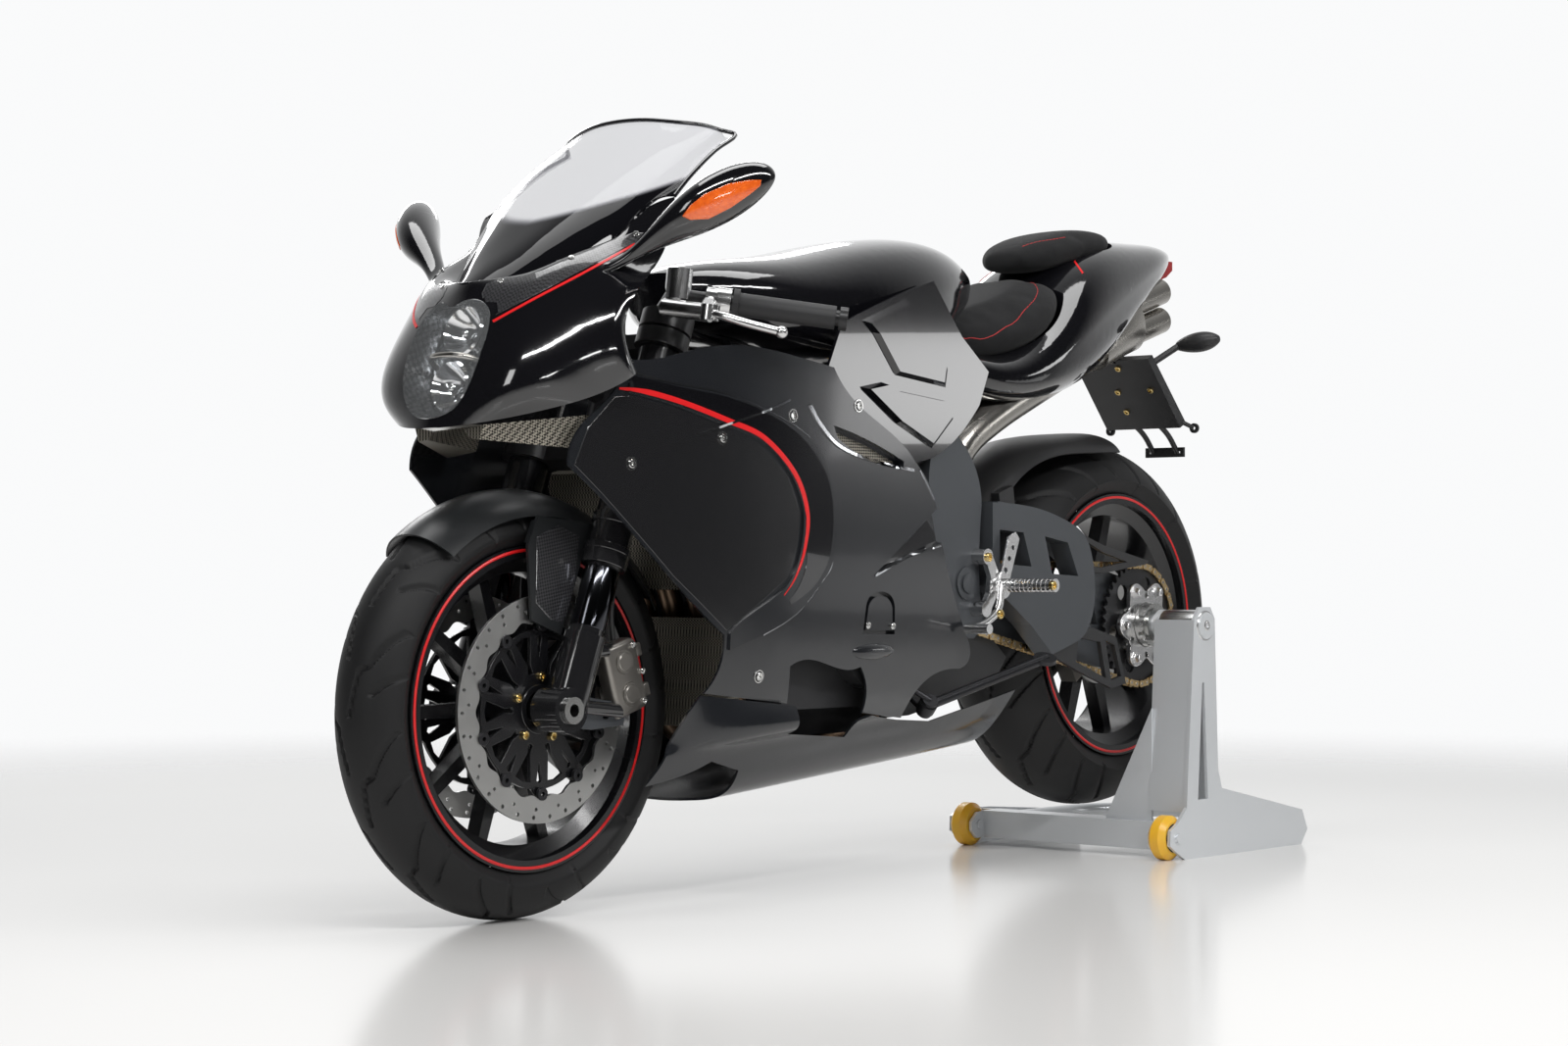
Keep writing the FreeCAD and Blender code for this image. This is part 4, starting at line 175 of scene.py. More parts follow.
FLOOR_REACH = 7.0
FLOOR_FADE = (2.2, 4.6)
FLOOR_LOOK = {"Base Color": (0.80, 0.79, 0.775, 1), "Roughness": 0.16, "IOR": 1.42}


def main_shader(material):
    """The node tree of a new material and its main shader."""
    material.use_nodes = True
    return material.node_tree, material.node_tree.nodes["Principled BSDF"]


def set_inputs(shader, values):
    for label, value in values.items():
        shader.inputs[label.replace("_", " ")].default_value = value


def floor():
    """The pale studio floor, which fades out round the object."""
    mesh = bpy.data.meshes.new("floor")
    build = bmesh.new()
    bmesh.ops.create_circle(build, cap_ends=True, segments=96, radius=FLOOR_REACH)
    build.to_mesh(mesh)
    build.free()
    thing = linked("floor", mesh)
    material = bpy.data.materials.new("floor_paint")
    tree, skin = main_shader(material)
    set_inputs(skin, FLOOR_LOOK)
    output = tree.nodes["Material Output"]
    see_through = add_node(tree, "BsdfTransparent")
    mix = add_node(tree, "MixShader")
    place = add_node(tree, "TexCoord")
    reach = add_node(tree, "VectorMath", operation="LENGTH")
    fade = add_node(tree, "MapRange", {"From Min": FLOOR_FADE[0], "From Max": FLOOR_FADE[1]},
                    interpolation_type="SMOOTHSTEP")
    wire(tree, (place, "Object", reach, 0), (reach, "Value", fade, "Value"), (fade, "Result", mix, "Fac"),
         (skin, 0, mix, 1), (see_through, 0, mix, 2), (mix, 0, output, "Surface"))
    mesh.materials.append(material)


# Shader groups
def new_group(name, inputs, outputs):
    """A shader node group with named sockets, and its two end nodes."""
    group = bpy.data.node_groups.new(name, "ShaderNodeTree")
    for label, kind, value in inputs:
        socket = group.interface.new_socket(name=label, in_out="INPUT", socket_type=kind)
        socket.default_value = value
    for label, kind in outputs:
        group.interface.new_socket(name=label, in_out="OUTPUT", socket_type=kind)
    return group, group.nodes.new("NodeGroupInput"), group.nodes.new("NodeGroupOutput")


FLOAT = "NodeSocketFloat"
COLOUR = "NodeSocketColor"
VECTOR = "NodeSocketVector"


def grain_group():
    """Fine unevenness of a finish: colour, roughness and normal that vary over the surface."""
    group, start, end = new_group(
        "fine_grain",
        [("Colour", COLOUR, (0.1, 0.1, 0.1, 1)), ("Worn Colour", COLOUR, (0.2, 0.2, 0.2, 1)),
         ("Cloud Scale", FLOAT, 9.0), ("Cloud Share", FLOAT, 0.2), ("Grain Scale", FLOAT, 900.0),
         ("Grain Height", FLOAT, 0.1), ("Roughness", FLOAT, 0.4), ("Roughness Spread", FLOAT, 0.1)],
        [("Colour", COLOUR), ("Roughness", FLOAT), ("Normal", VECTOR)])
    place = add_node(group, "TexCoord")
    cloud = add_node(group, "TexNoise", {"Detail": 5.0})
    grain = add_node(group, "TexNoise", {"Detail": 2.0})
    share = add_node(group, "Math", operation="MULTIPLY")
    mix = add_node(group, "Mix", data_type="RGBA")
    centred = add_node(group, "Math", {1: 0.5}, operation="SUBTRACT")
    spread = add_node(group, "Math", operation="MULTIPLY_ADD")
    bump = add_node(group, "Bump", {"Distance": 0.0004})
    wire(group, (place, "Object", cloud, "Vector"), (place, "Object", grain, "Vector"),
         (start, "Cloud Scale", cloud, "Scale"), (start, "Grain Scale", grain, "Scale"),
         (cloud, "Fac", share, 0), (start, "Cloud Share", share, 1), (share, 0, mix, "Factor"),
         (start, "Colour", mix, "A"), (start, "Worn Colour", mix, "B"), (cloud, "Fac", centred, 0),
         (centred, 0, spread, 0), (start, "Roughness Spread", spread, 1), (start, "Roughness", spread, 2),
         (grain, "Fac", bump, "Height"), (start, "Grain Height", bump, "Strength"),
         (mix, "Result", end, "Colour"), (spread, 0, end, "Roughness"), (bump, 0, end, "Normal"))
    return group


def weave_group():
    """A woven pattern of two crossing sets of threads, on two of the object's axes."""
    group, start, end = new_group(
        "woven_cloth",
        [("Dark", COLOUR, (0.01, 0.01, 0.01, 1)), ("Light", COLOUR, (0.08, 0.08, 0.08, 1)),
         ("Threads", FLOAT, 260.0), ("Height", FLOAT, 0.3), ("Turn", FLOAT, 0.6)],
        [("Colour", COLOUR), ("Mask", FLOAT), ("Normal", VECTOR)])
    place = add_node(group, "TexCoord")
    turned = add_node(group, "VectorRotate", rotation_type="Y_AXIS")
    check = add_node(group, "TexChecker", {"Color1": (1, 1, 1, 1), "Color2": (0, 0, 0, 1)})
    mix = add_node(group, "Mix", data_type="RGBA")
    bump = add_node(group, "Bump", {"Distance": 0.0006})
    wire(group, (place, "Object", turned, "Vector"), (start, "Turn", turned, "Angle"),
         (turned, 0, check, "Vector"), (start, "Threads", check, "Scale"), (check, "Fac", mix, "Factor"),
         (start, "Dark", mix, "A"), (start, "Light", mix, "B"), (check, "Fac", bump, "Height"),
         (start, "Height", bump, "Strength"), (mix, "Result", end, "Colour"), (check, "Fac", end, "Mask"),
         (bump, 0, end, "Normal"))
    return group


grain_nodes = grain_group()
weave_nodes = weave_group()


def grouped(name, group, values, feeds, others):
    """A material whose main shader is fed by a node group."""
    material = bpy.data.materials.new(name)
    tree, skin = main_shader(material)
    source = add_node(tree, "Group", node_tree=group)
    set_inputs(source, values)
    wire(tree, *((source, output, skin, entry) for output, entry in feeds))
    set_inputs(skin, others)
    return material


def finish(name, colour, worn=None, roughness=0.4, spread=0.08, cloud=(9.0, 0.25), grain=(900.0, 0.05),
           **sockets):
    """A finish with fine grain in its colour, roughness and surface."""
    lighter = worn or tuple(min(1.0, channel * 1.35 + 0.004) for channel in colour)
    values = {"Colour": (*colour, 1), "Worn Colour": (*lighter, 1), "Cloud Scale": cloud[0],
              "Cloud Share": cloud[1], "Grain Scale": grain[0], "Grain Height": grain[1],
              "Roughness": roughness, "Roughness Spread": spread}
    feeds = (("Colour", "Base Color"), ("Roughness", "Roughness"), ("Normal", "Normal"))
    return grouped(name, grain_nodes, values, feeds, sockets)


def woven(name, dark, light, threads, height, roughness, turn=0.6, **sockets):
    """A finish with a weave that shows in colour and surface."""
    values = {"Dark": (*dark, 1), "Light": (*light, 1), "Threads": threads, "Height": height, "Turn": turn}
    feeds = (("Colour", "Base Color"), ("Normal", "Normal"))
    return grouped(name, weave_nodes, values, feeds, {"Roughness": roughness, **sockets})


def clear(name, colour, alpha, roughness=0.02, ior=1.5):
    """A thin clear sheet that lets light straight through."""
    material = bpy.data.materials.new(name)
    tree, skin = main_shader(material)
    set_inputs(skin, {"Base Color": (*colour, 1), "Roughness": roughness, "Alpha": alpha, "IOR": ior})
    return material


SCREEN_BLACK_LINE = ((0.564, 1.043), (0.667, 1.005))
SCREEN_LINE_DIP = -0.06
SCREEN_LINE_LIFT = 0.004
SCREEN_EDGE = 0.004
SCREEN_ALPHA = 0.24
SCREEN_IOR = 1.28
SCREEN_TINT = (0.30, 0.30, 0.33)
SCREEN_BLACK = (0.004, 0.004, 0.005)


def screen_finish(name):
    """The smoked screen, black and solid below a sloping line on both sides."""
    material = clear(name, SCREEN_TINT, SCREEN_ALPHA, ior=SCREEN_IOR)
    tree, skin = main_shader(material)
    (first_x, first_z), (last_x, last_z) = SCREEN_BLACK_LINE
    rate = (last_z - first_z) / (last_x - first_x)
    place = add_node(tree, "TexCoord")
    parts = add_node(tree, "SeparateXYZ")
    aside = add_node(tree, "Math", operation="ABSOLUTE")
    slope = add_node(tree, "Math", {1: -rate, 2: rate * first_x - first_z}, operation="MULTIPLY_ADD")
    height = add_node(tree, "Math", operation="ADD")
    dip = add_node(tree, "Math", {1: SCREEN_LINE_DIP, 2: SCREEN_LINE_LIFT}, operation="MULTIPLY_ADD")
    level = add_node(tree, "Math", operation="ADD")
    edge = add_node(tree, "MapRange", {"From Min": -SCREEN_EDGE, "From Max": SCREEN_EDGE, "To Min": 1.0,
                                       "To Max": SCREEN_ALPHA}, interpolation_type="SMOOTHSTEP")
    tint = add_node(tree, "Mix", data_type="RGBA")
    set_inputs(tint, {"A": (*SCREEN_BLACK, 1), "B": (*SCREEN_TINT, 1)})
    see = add_node(tree, "MapRange", {"From Min": 1.0, "From Max": SCREEN_ALPHA})
    wire(tree, (place, "Object", parts, 0), (parts, "X", slope, 0), (parts, "Y", aside, 0),
         (slope, 0, height, 0), (parts, "Z", height, 1), (aside, 0, dip, 0), (height, 0, level, 0),
         (dip, 0, level, 1), (level, 0, edge, "Value"), (edge, "Result", skin, "Alpha"),
         (edge, "Result", see, "Value"), (see, "Result", tint, "Factor"),
         (tint, "Result", skin, "Base Color"))
    return material


finishes = {}


def add(maker, name, *values, **sockets):
    """Make a finish and keep it under its name."""
    finishes[name] = maker(name, *values, **sockets)


add(finish, "gloss_paint", (0.004, 0.004, 0.005), (0.006, 0.006, 0.008), 0.10, 0.03, grain=(60.0, 0.01),
    Coat_Weight=1.0, Coat_Roughness=0.02)
add(finish, "satin_paint", (0.010, 0.011, 0.013), (0.015, 0.016, 0.019), 0.22, 0.05, cloud=(5.0, 0.5),
    grain=(1500.0, 0.03), Coat_Weight=0.5, Coat_Roughness=0.07)
add(finish, "fender_paint", (0.010, 0.011, 0.012), roughness=0.34, spread=0.05)
add(finish, "frame_paint", (0.022, 0.022, 0.024), roughness=0.30)
add(finish, "cast_grey", (0.060, 0.065, 0.072), (0.085, 0.090, 0.098), 0.40, 0.08, grain=(1400.0, 0.25),
    Metallic=0.35)
add(finish, "engine_grey", (0.035, 0.035, 0.037), roughness=0.5, grain=(700.0, 0.4), Metallic=0.5)
add(finish, "matte_plastic", (0.014, 0.014, 0.015), roughness=0.42, grain=(1100.0, 0.3))
add(finish, "steel_dark", (0.035, 0.035, 0.038), roughness=0.35, Metallic=0.8)
add(finish, "steel_brushed", (0.42, 0.40, 0.37), (0.62, 0.60, 0.56), 0.26, 0.14, cloud=(14.0, 0.6),
    grain=(500.0, 0.12), Metallic=1.0)
add(finish, "header_steel", (0.20, 0.12, 0.07), (0.34, 0.26, 0.20), 0.34, 0.16, cloud=(7.0, 0.8),
    Metallic=1.0)
add(finish, "disc_steel", (0.50, 0.50, 0.49), (0.62, 0.62, 0.61), 0.32, 0.14, cloud=(26.0, 0.5),
    grain=(700.0, 0.2), Metallic=1.0)
add(finish, "alloy_bright", (0.62, 0.62, 0.62), (0.78, 0.78, 0.78), 0.24, 0.10, cloud=(20.0, 0.6),
    Metallic=1.0)
add(finish, "caliper_grey", (0.27, 0.255, 0.235), (0.36, 0.34, 0.31), 0.36, 0.08, grain=(900.0, 0.3),
    Metallic=0.9)
add(finish, "stand_silver", (0.70, 0.72, 0.74), (0.74, 0.76, 0.78), 0.27, 0.0, cloud=(40.0, 0.2),
    grain=(1200.0, 0.0), Metallic=0.45)
add(finish, "roller_yellow", (0.80, 0.42, 0.02), (0.86, 0.52, 0.06), 0.32, 0.1, cloud=(30.0, 0.7),
    Subsurface_Weight=0.2)
add(finish, "fork_gloss", (0.010, 0.010, 0.011), roughness=0.12, Coat_Weight=0.8, Coat_Roughness=0.04)
add(finish, "fork_slider", (0.060, 0.062, 0.070), roughness=0.10, Metallic=1.0)
add(finish, "clamp_black", (0.020, 0.020, 0.021), roughness=0.34, Metallic=0.3)
add(finish, "grip_rubber", (0.012, 0.012, 0.013), roughness=0.55, grain=(900.0, 0.5))
add(finish, "wheel_black", (0.005, 0.005, 0.006), roughness=0.26, Coat_Weight=0.25, Coat_Roughness=0.08)
add(finish, "tyre_rubber", (0.006, 0.006, 0.0065), (0.013, 0.013, 0.0135), 0.55, 0.14, cloud=(16.0, 0.6),
    grain=(1300.0, 0.35), Specular_IOR_Level=0.32)
add(finish, "axle_steel", (0.50, 0.50, 0.49), roughness=0.24, Metallic=1.0)
add(finish, "sprocket_dark", (0.035, 0.035, 0.037), roughness=0.38, Metallic=0.7)
add(finish, "chain_gold", (0.52, 0.36, 0.17), (0.66, 0.52, 0.30), 0.28, 0.14, cloud=(60.0, 0.8),
    Metallic=1.0)
add(finish, "red_line", (0.62, 0.012, 0.014), (0.70, 0.02, 0.02), 0.22, 0.04)
add(finish, "rim_line", (0.62, 0.010, 0.012), (0.70, 0.03, 0.03), 0.30, 0.04)
add(finish, "bolt_steel", (0.62, 0.62, 0.61), roughness=0.2, Metallic=1.0)
add(finish, "bolt_gold", (0.62, 0.47, 0.20), roughness=0.25, Metallic=1.0)
add(finish, "amber_lens", (0.50, 0.055, 0.006), (0.86, 0.16, 0.015), 0.16, 0.05, cloud=(130.0, 1.0),
    grain=(240.0, 0.5), Coat_Weight=1.0)
add(finish, "red_lens", (0.30, 0.01, 0.012), roughness=0.12, Coat_Weight=1.0)
add(finish, "chrome", (0.80, 0.81, 0.82), roughness=0.07, spread=0.03, Metallic=1.0)
add(finish, "suede", (0.005, 0.005, 0.0055), (0.014, 0.014, 0.015), 0.9, 0.1, cloud=(45.0, 0.9),
    grain=(1500.0, 0.8), Sheen_Weight=0.08, Sheen_Roughness=0.5, Specular_IOR_Level=0.25)
add(finish, "thread_red", (0.40, 0.012, 0.014), roughness=0.6)
add(woven, "carbon", (0.004, 0.004, 0.005), (0.042, 0.042, 0.045), 300.0, 0.25, 0.28, Coat_Weight=1.0,
    Coat_Roughness=0.03)
add(woven, "panel_weave", (0.005, 0.005, 0.006), (0.013, 0.013, 0.014), 620.0, 0.05, 0.24, Coat_Weight=0.6,
    Coat_Roughness=0.06)
add(woven, "grille_weave", (0.030, 0.027, 0.022), (0.40, 0.37, 0.31), 330.0, 0.8, 0.4, turn=0.785,
    Metallic=0.6)
# Bright metal on raised strips along real fairing edges and seams, standing in as painted highlight on the
# black gloss there
add(finish, "edge_gloss", (0.55, 0.56, 0.58), roughness=0.10, spread=0.03, Metallic=1.0)
add(woven, "lamp_facets", (0.10, 0.105, 0.11), (0.40, 0.41, 0.42), 150.0, 0.9, 0.24, turn=0.4, Metallic=1.0)
add(clear, "lamp_lens", (0.90, 0.93, 0.95), 0.08, ior=1.18)
add(screen_finish, "screen_smoke")

# The solids that wear each finish
CAD_FINISHES = {
    "frame_paint": "frame_trellis",
    "cast_grey": "frame_plates swingarm",
    "engine_grey": "engine",
    "grille_weave": "radiators air_ducts",
    "satin_paint": "side_fairing_left side_fairing_right belly_pan",
    "gloss_paint": "nose_fairing tank side_covers tail_unit mirror_left mirror_right",
    "chrome": "headlight",
    "screen_smoke": "windscreen",
    "red_lens": "tail_lamp",
    "suede": "seat pillion_pad",
    "header_steel": "exhaust_headers",
    "steel_brushed": "exhaust_link",
    "matte_plastic": "rear_hugger chain_guards plate_holder rear_indicators instruments brake_hoses",
    "steel_dark": "rear_shock front_sprocket side_stand_bracket side_stand",
    "chain_gold": "chain",
    "alloy_bright": "footrest_left footrest_right hand_controls",
    "caliper_grey": "rear_caliper front_calipers",
    "stand_silver": "paddock_stand",
    "roller_yellow": "stand_roller_left stand_roller_right",
    "fork_gloss": "fork_legs",
    "clamp_black": "triple_clamps handlebars",
    "grip_rubber": "grips",
    "fender_paint": "front_fender",
    "axle_steel": "front_axle rear_axle",
    "wheel_black": "front_rim front_disc_carriers rear_rim",
    "tyre_rubber": "front_tyre rear_tyre",
    "disc_steel": "front_discs rear_disc",
    "sprocket_dark": "rear_sprocket",
}


def dress_solids():
    for look, solids in CAD_FINISHES.items():
        for solid in solids.split():
            mesh = nodes[solid].data
            mesh.materials.clear()
            mesh.materials.append(finishes[look])


# Making pieces
def smoothed(build, name):
    """A mesh with smooth faces, which takes over a bmesh."""
    mesh = bpy.data.meshes.new(name)
    for face in build.faces:
        face.smooth = True
    build.to_mesh(mesh)
    build.free()
    return mesh


def piece(name, build, body, finish_name, replaced=()):
    """A finished piece from a bmesh, riding on a body."""
    return piece_of_mesh(name, smoothed(build, name), body, finish_name, replaced)


def piece_of_mesh(name, mesh, body, finish_name, replaced=()):
    mesh.materials.append(finishes[finish_name])
    thing = linked(name, mesh)
    thing.data.set_sharp_from_angle(angle=SHARP_ANGLE)
    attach(thing, body)
    if replaced:
        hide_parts(*replaced)
    return thing


SIDES = (("left", 1), ("right", -1))
SHARP_ANGLE = math.radians(38)


def curve_mesh(curve):
    """The mesh of a curve, with the curve itself removed."""
    holder = linked("curve_holder", curve)
    evaluated = holder.evaluated_get(bpy.context.evaluated_depsgraph_get())
    mesh = bpy.data.meshes.new_from_object(evaluated)
    bpy.data.objects.remove(holder)
    bpy.data.curves.remove(curve)
    return mesh


def rod_mesh(points, radius, radii=None, closed=False, sides=6, smooth=True):
    """A round rod along points, as a mesh."""
    curve = bpy.data.curves.new("rod", "CURVE")
    curve.dimensions = "3D"
    curve.bevel_depth = radius
    curve.bevel_resolution = sides
    curve.use_fill_caps = True
    spline = curve.splines.new("NURBS" if smooth else "POLY")
    spline.points.add(len(points) - 1)
    for index, point in enumerate(points):
        spline.points[index].co = (*point, 1)
        spline.points[index].radius = radii[index] if radii else 1.0
    if smooth:
        spline.order_u = 3
        spline.use_endpoint_u = not closed
    spline.use_cyclic_u = closed
    curve.resolution_u = 6
    return curve_mesh(curve)


def flat_mesh(outline, holes, thickness, bevel=0.0):
    """A flat part with real holes, centred on its own XY plane."""
    curve = bpy.data.curves.new("flat", "CURVE")
    curve.dimensions = "2D"
    curve.fill_mode = "BOTH"
    curve.extrude = thickness / 2 - bevel
    curve.bevel_depth = bevel
    for loop in [outline] + holes:
        spline = curve.splines.new("POLY")
        spline.points.add(len(loop) - 1)
        for index, (across, upwards) in enumerate(loop):
            spline.points[index].co = (across, upwards, 0, 1)
        spline.use_cyclic_u = True
    return curve_mesh(curve)


def polar(radius, angle):
    return (radius * math.cos(angle), radius * math.sin(angle))


def ring_of(count, shift=0.0):
    """Evenly spaced angles round a circle, turned by a share of a step."""
    return [2 * math.pi * (step + shift) / count for step in range(count)]


def near(axle, y, flat=(0.0, 0.0)):
    """A place beside an axle, at a sideways reach and an (x, z) offset."""
    return Vector((axle.x + flat[0], y, axle.z + flat[1]))


def circle(radius, steps=48, centre=(0.0, 0.0)):
    return [(centre[0] + radius * math.cos(angle), centre[1] + radius * math.sin(angle))
            for angle in ring_of(steps)]


FACING_LEFT = Matrix.Rotation(math.radians(90), 4, "X")


def stood_up(mesh, place):
    """Turn a flat part from its XY plane to face sideways, at a place."""
    mesh.transform(Matrix.Translation(place) @ FACING_LEFT)
    return mesh


def joined_mesh(name, meshes):
    build = bmesh.new()
    for mesh in meshes:
        build.from_mesh(mesh)
        bpy.data.meshes.remove(mesh)
    return smoothed(build, name)


def surface_of(*names):
    """A search tree over the surfaces of some solids."""
    corners = []
    faces = []
    for name in names:
        mesh = nodes[name].data
        base = len(corners)
        corners.extend(vertex.co.copy() for vertex in mesh.vertices)
        faces.extend([base + corner for corner in polygon.vertices] for polygon in mesh.polygons)
    return BVHTree.FromPolygons(corners, faces)


OUTSIDE_Y = 0.6


def hit(tree, start, way):
    """The place and normal where a ray meets a surface, or None."""
    point, normal, index, distance = tree.ray_cast(Vector(start), Vector(way))
    return None if point is None else (point, normal)


def from_side(tree):
    """A way to put (x, z) in metres on the outermost surface seen from the left."""
    def put(flat):
        return hit(tree, (flat[0], OUTSIDE_Y, flat[1]), (0, -1, 0))
    return put


def from_camera(tree):
    """A way to put a photo pixel on the surface that the camera sees there."""
    def put(flat):
        across = (flat[0] - IMAGE_MIDDLE.x) / FOCAL_PIXELS
        upwards = (IMAGE_MIDDLE.y - flat[1]) / FOCAL_PIXELS
        ray = (AHEAD + ACROSS * across + UPWARDS * upwards).normalized()
        found = hit(tree, CAMERA_PLACE, ray)
        if found is None:
            return None
        point, normal = found
        return point, (normal if normal.dot(ray) < 0 else -normal)
    return put


def smooth_line(points, steps=8):
    """Points along a smooth line through the given ones."""
    made = []
    for index in range(len(points) - 1):
        around = [points[max(index - 1, 0)], points[index], points[index + 1],
                  points[min(index + 2, len(points) - 1)]]
        for step in range(steps):
            part = step / steps
            made.append(tuple(
                0.5 * (2 * b + (c - a) * part + (2 * a - 5 * b + 4 * c - d) * part ** 2
                       + (3 * b - a - 3 * c + d) * part ** 3) for a, b, c, d in zip(*around)))
    made.append(tuple(points[-1]))
    return made


SUNK = 0.0012
NARROW = (-1, -0.8, 0.8, 1)
BROAD = (-1, -0.95, -0.5, 0, 0.5, 0.95, 1)


def strip(line, half_width, put, rise, shares=NARROW):
    """A thin strip laid on a surface along a flat line, its edges sunk in."""
    build = bmesh.new()
    rows = []
    last = len(line) - 1
    for index, here in enumerate(line):
        along = (Vector(line[min(index + 1, last)]) - Vector(line[max(index - 1, 0)])).normalized()
        aside = Vector((-along.y, along.x)) * half_width(index / last)
        row = []
        for share in shares:
            found = put(Vector(here) + aside * share)
            if found is None:
                break
            height = -SUNK if abs(share) == 1 else rise
            row.append(build.verts.new(found[0] + found[1] * height))
        rows.append(row if len(row) == len(shares) else None)
    for first, second in zip(rows, rows[1:]):
        if first and second:
            for corner in range(len(shares) - 1):
                build.faces.new((first[corner], first[corner + 1], second[corner + 1], second[corner]))
    return build


def patch(outline, put, rise, cuts=4, rim=0.08):
    """A field laid on a surface inside a flat outline, its edge sunk in."""
    build = bmesh.new()
    face = build.faces.new([build.verts.new((*corner, 0)) for corner in outline])
    middle = face.calc_center_median()
    edge = bmesh.ops.extrude_face_region(build, geom=[face])
    inner = [item for item in edge["geom"] if isinstance(item, bmesh.types.BMVert)]
    bmesh.ops.delete(build, geom=[face], context="FACES_ONLY")
    for vertex in inner:
        vertex.co = middle + (vertex.co - middle) * (1 - rim)
        vertex.co.z = 1.0
    bmesh.ops.triangulate(build, faces=[item for item in build.faces if len(item.verts) > 4])
    bmesh.ops.subdivide_edges(build, edges=build.edges[:], cuts=cuts, use_grid_fill=True)
    lost = []
    for vertex in build.verts:
        found = put(vertex.co.xy)
        if found is None:
            lost.append(vertex)
        else:
            height = -SUNK + (rise + SUNK) * min(1.0, vertex.co.z * 1.6)
            vertex.co = found[0] + found[1] * height
    bmesh.ops.delete(build, geom=lost, context="VERTS")
    return build


def both_sides(build):
    """The same parts on both sides of the bike."""
    copy = bmesh.ops.duplicate(build, geom=build.verts[:] + build.edges[:] + build.faces[:])["geom"]
    for item in copy:
        if isinstance(item, bmesh.types.BMVert):
            item.co.y = -item.co.y
    bmesh.ops.reverse_faces(build, faces=[item for item in copy if isinstance(item, bmesh.types.BMFace)])
    return build


def mirrored(build):
    """The same parts moved over to the other side of the bike."""
    bmesh.ops.transform(build, matrix=Matrix.Diagonal((1, -1, 1, 1)), verts=build.verts)
    bmesh.ops.reverse_faces(build, faces=build.faces[:])
    return build


def merged(builds):
    """One bmesh of several."""
    whole = bmesh.new()
    for build in builds:
        mesh = bpy.data.meshes.new("part")
        build.to_mesh(mesh)
        build.free()
        whole.from_mesh(mesh)
        bpy.data.meshes.remove(mesh)
    return whole


def turned_profile(profile, place, axis, steps=24):
    """A round part spun from (reach, height) pairs about an axis at a place."""
    build = bmesh.new()
    verts = [build.verts.new((reach, 0, height)) for reach, height in profile]
    edges = [build.edges.new(pair) for pair in zip(verts, verts[1:])]
    bmesh.ops.spin(build, geom=verts + edges, cent=(0, 0, 0), axis=(0, 0, 1), angle=2 * math.pi,
                   steps=steps, use_merge=True)
    bmesh.ops.remove_doubles(build, verts=build.verts, dist=0.00001)
    turn = Vector(axis).to_track_quat("Z", "Y").to_matrix().to_4x4()
    bmesh.ops.transform(build, matrix=Matrix.Translation(Vector(place)) @ turn, verts=build.verts)
    bmesh.ops.recalc_face_normals(build, faces=build.faces)
    return build


def ball(place, radius, stretch=(1, 1, 1)):
    build = bmesh.new()
    bmesh.ops.create_uvsphere(build, u_segments=20, v_segments=12, radius=radius)
    bmesh.ops.transform(build, matrix=Matrix.Translation(Vector(place)) @ Matrix.Diagonal((*stretch, 1)),
                        verts=build.verts)
    return build


def block(low, high, bevel=0.001, turn=None, centre=None, segments=3):
    """A box with rounded edges, turned about a place when asked."""
    build = bmesh.new()
    bmesh.ops.create_cube(build, size=1.0)
    size = Vector(high) - Vector(low)
    middle = (Vector(high) + Vector(low)) / 2
    bmesh.ops.transform(build, matrix=Matrix.Translation(middle) @ Matrix.Diagonal((*size, 1)),
                        verts=build.verts)
    bmesh.ops.bevel(build, geom=build.edges[:], offset=bevel, segments=segments, affect="EDGES",
                    profile=0.5, material=-1)
    if turn is not None:
        about = Matrix.Translation(Vector(centre)) @ turn @ Matrix.Translation(-Vector(centre))
        bmesh.ops.transform(build, matrix=about, verts=build.verts)
    return build


def of_mesh(mesh):
    """A bmesh taken over from a mesh."""
    build = bmesh.new()
    build.from_mesh(mesh)
    bpy.data.meshes.remove(mesh)
    return build


def bolt(place, axis, radius, height, socket=0.5):
    """A round screw head with a socket in it."""
    inner = radius * socket
    return turned_profile([(0, height * 0.35), (inner, height * 0.35), (inner * 1.04, height * 0.95),
                           (radius * 0.86, height), (radius, height * 0.8), (radius, -height * 0.5)],
                          place, axis, 14)


# Wheels
TYRE_STEPS = 900
TYRE_ROWS = 60
SIDEWALL_SHARE = 0.955
SIDEWALL_LIFT = 0.004
TREAD_HALF_WIDTH = 0.0036
TREAD_DEPTH = 0.0050
TREAD_SLOPE = 0.45
TREAD_REPEATS = 12
TREAD_FROM = 0.985


def tyre_profile(radius, width, shoulder_drop, foot_radius, foot_half):
    """The outer line of a tyre as (across, radius), from one bead over the crown to the other."""
    half = width / 2
    shoulder = radius - shoulder_drop
    crown = (half * half + shoulder_drop * shoulder_drop) / (2 * shoulder_drop)
    centre = radius - crown
    wall = (half * SIDEWALL_SHARE, (foot_radius + shoulder) / 2 + SIDEWALL_LIFT)
    line = [(-foot_half, foot_radius), (-wall[0], wall[1])]
    sweep = math.asin(half / crown)
    if crown < shoulder_drop:
        sweep = math.pi - sweep
    for step in range(TYRE_ROWS + 1):
        angle = -sweep + 2 * sweep * step / TYRE_ROWS
        line.append((crown * math.sin(angle), centre + crown * math.cos(angle)))
    return line + [wall, (foot_half, foot_radius)]


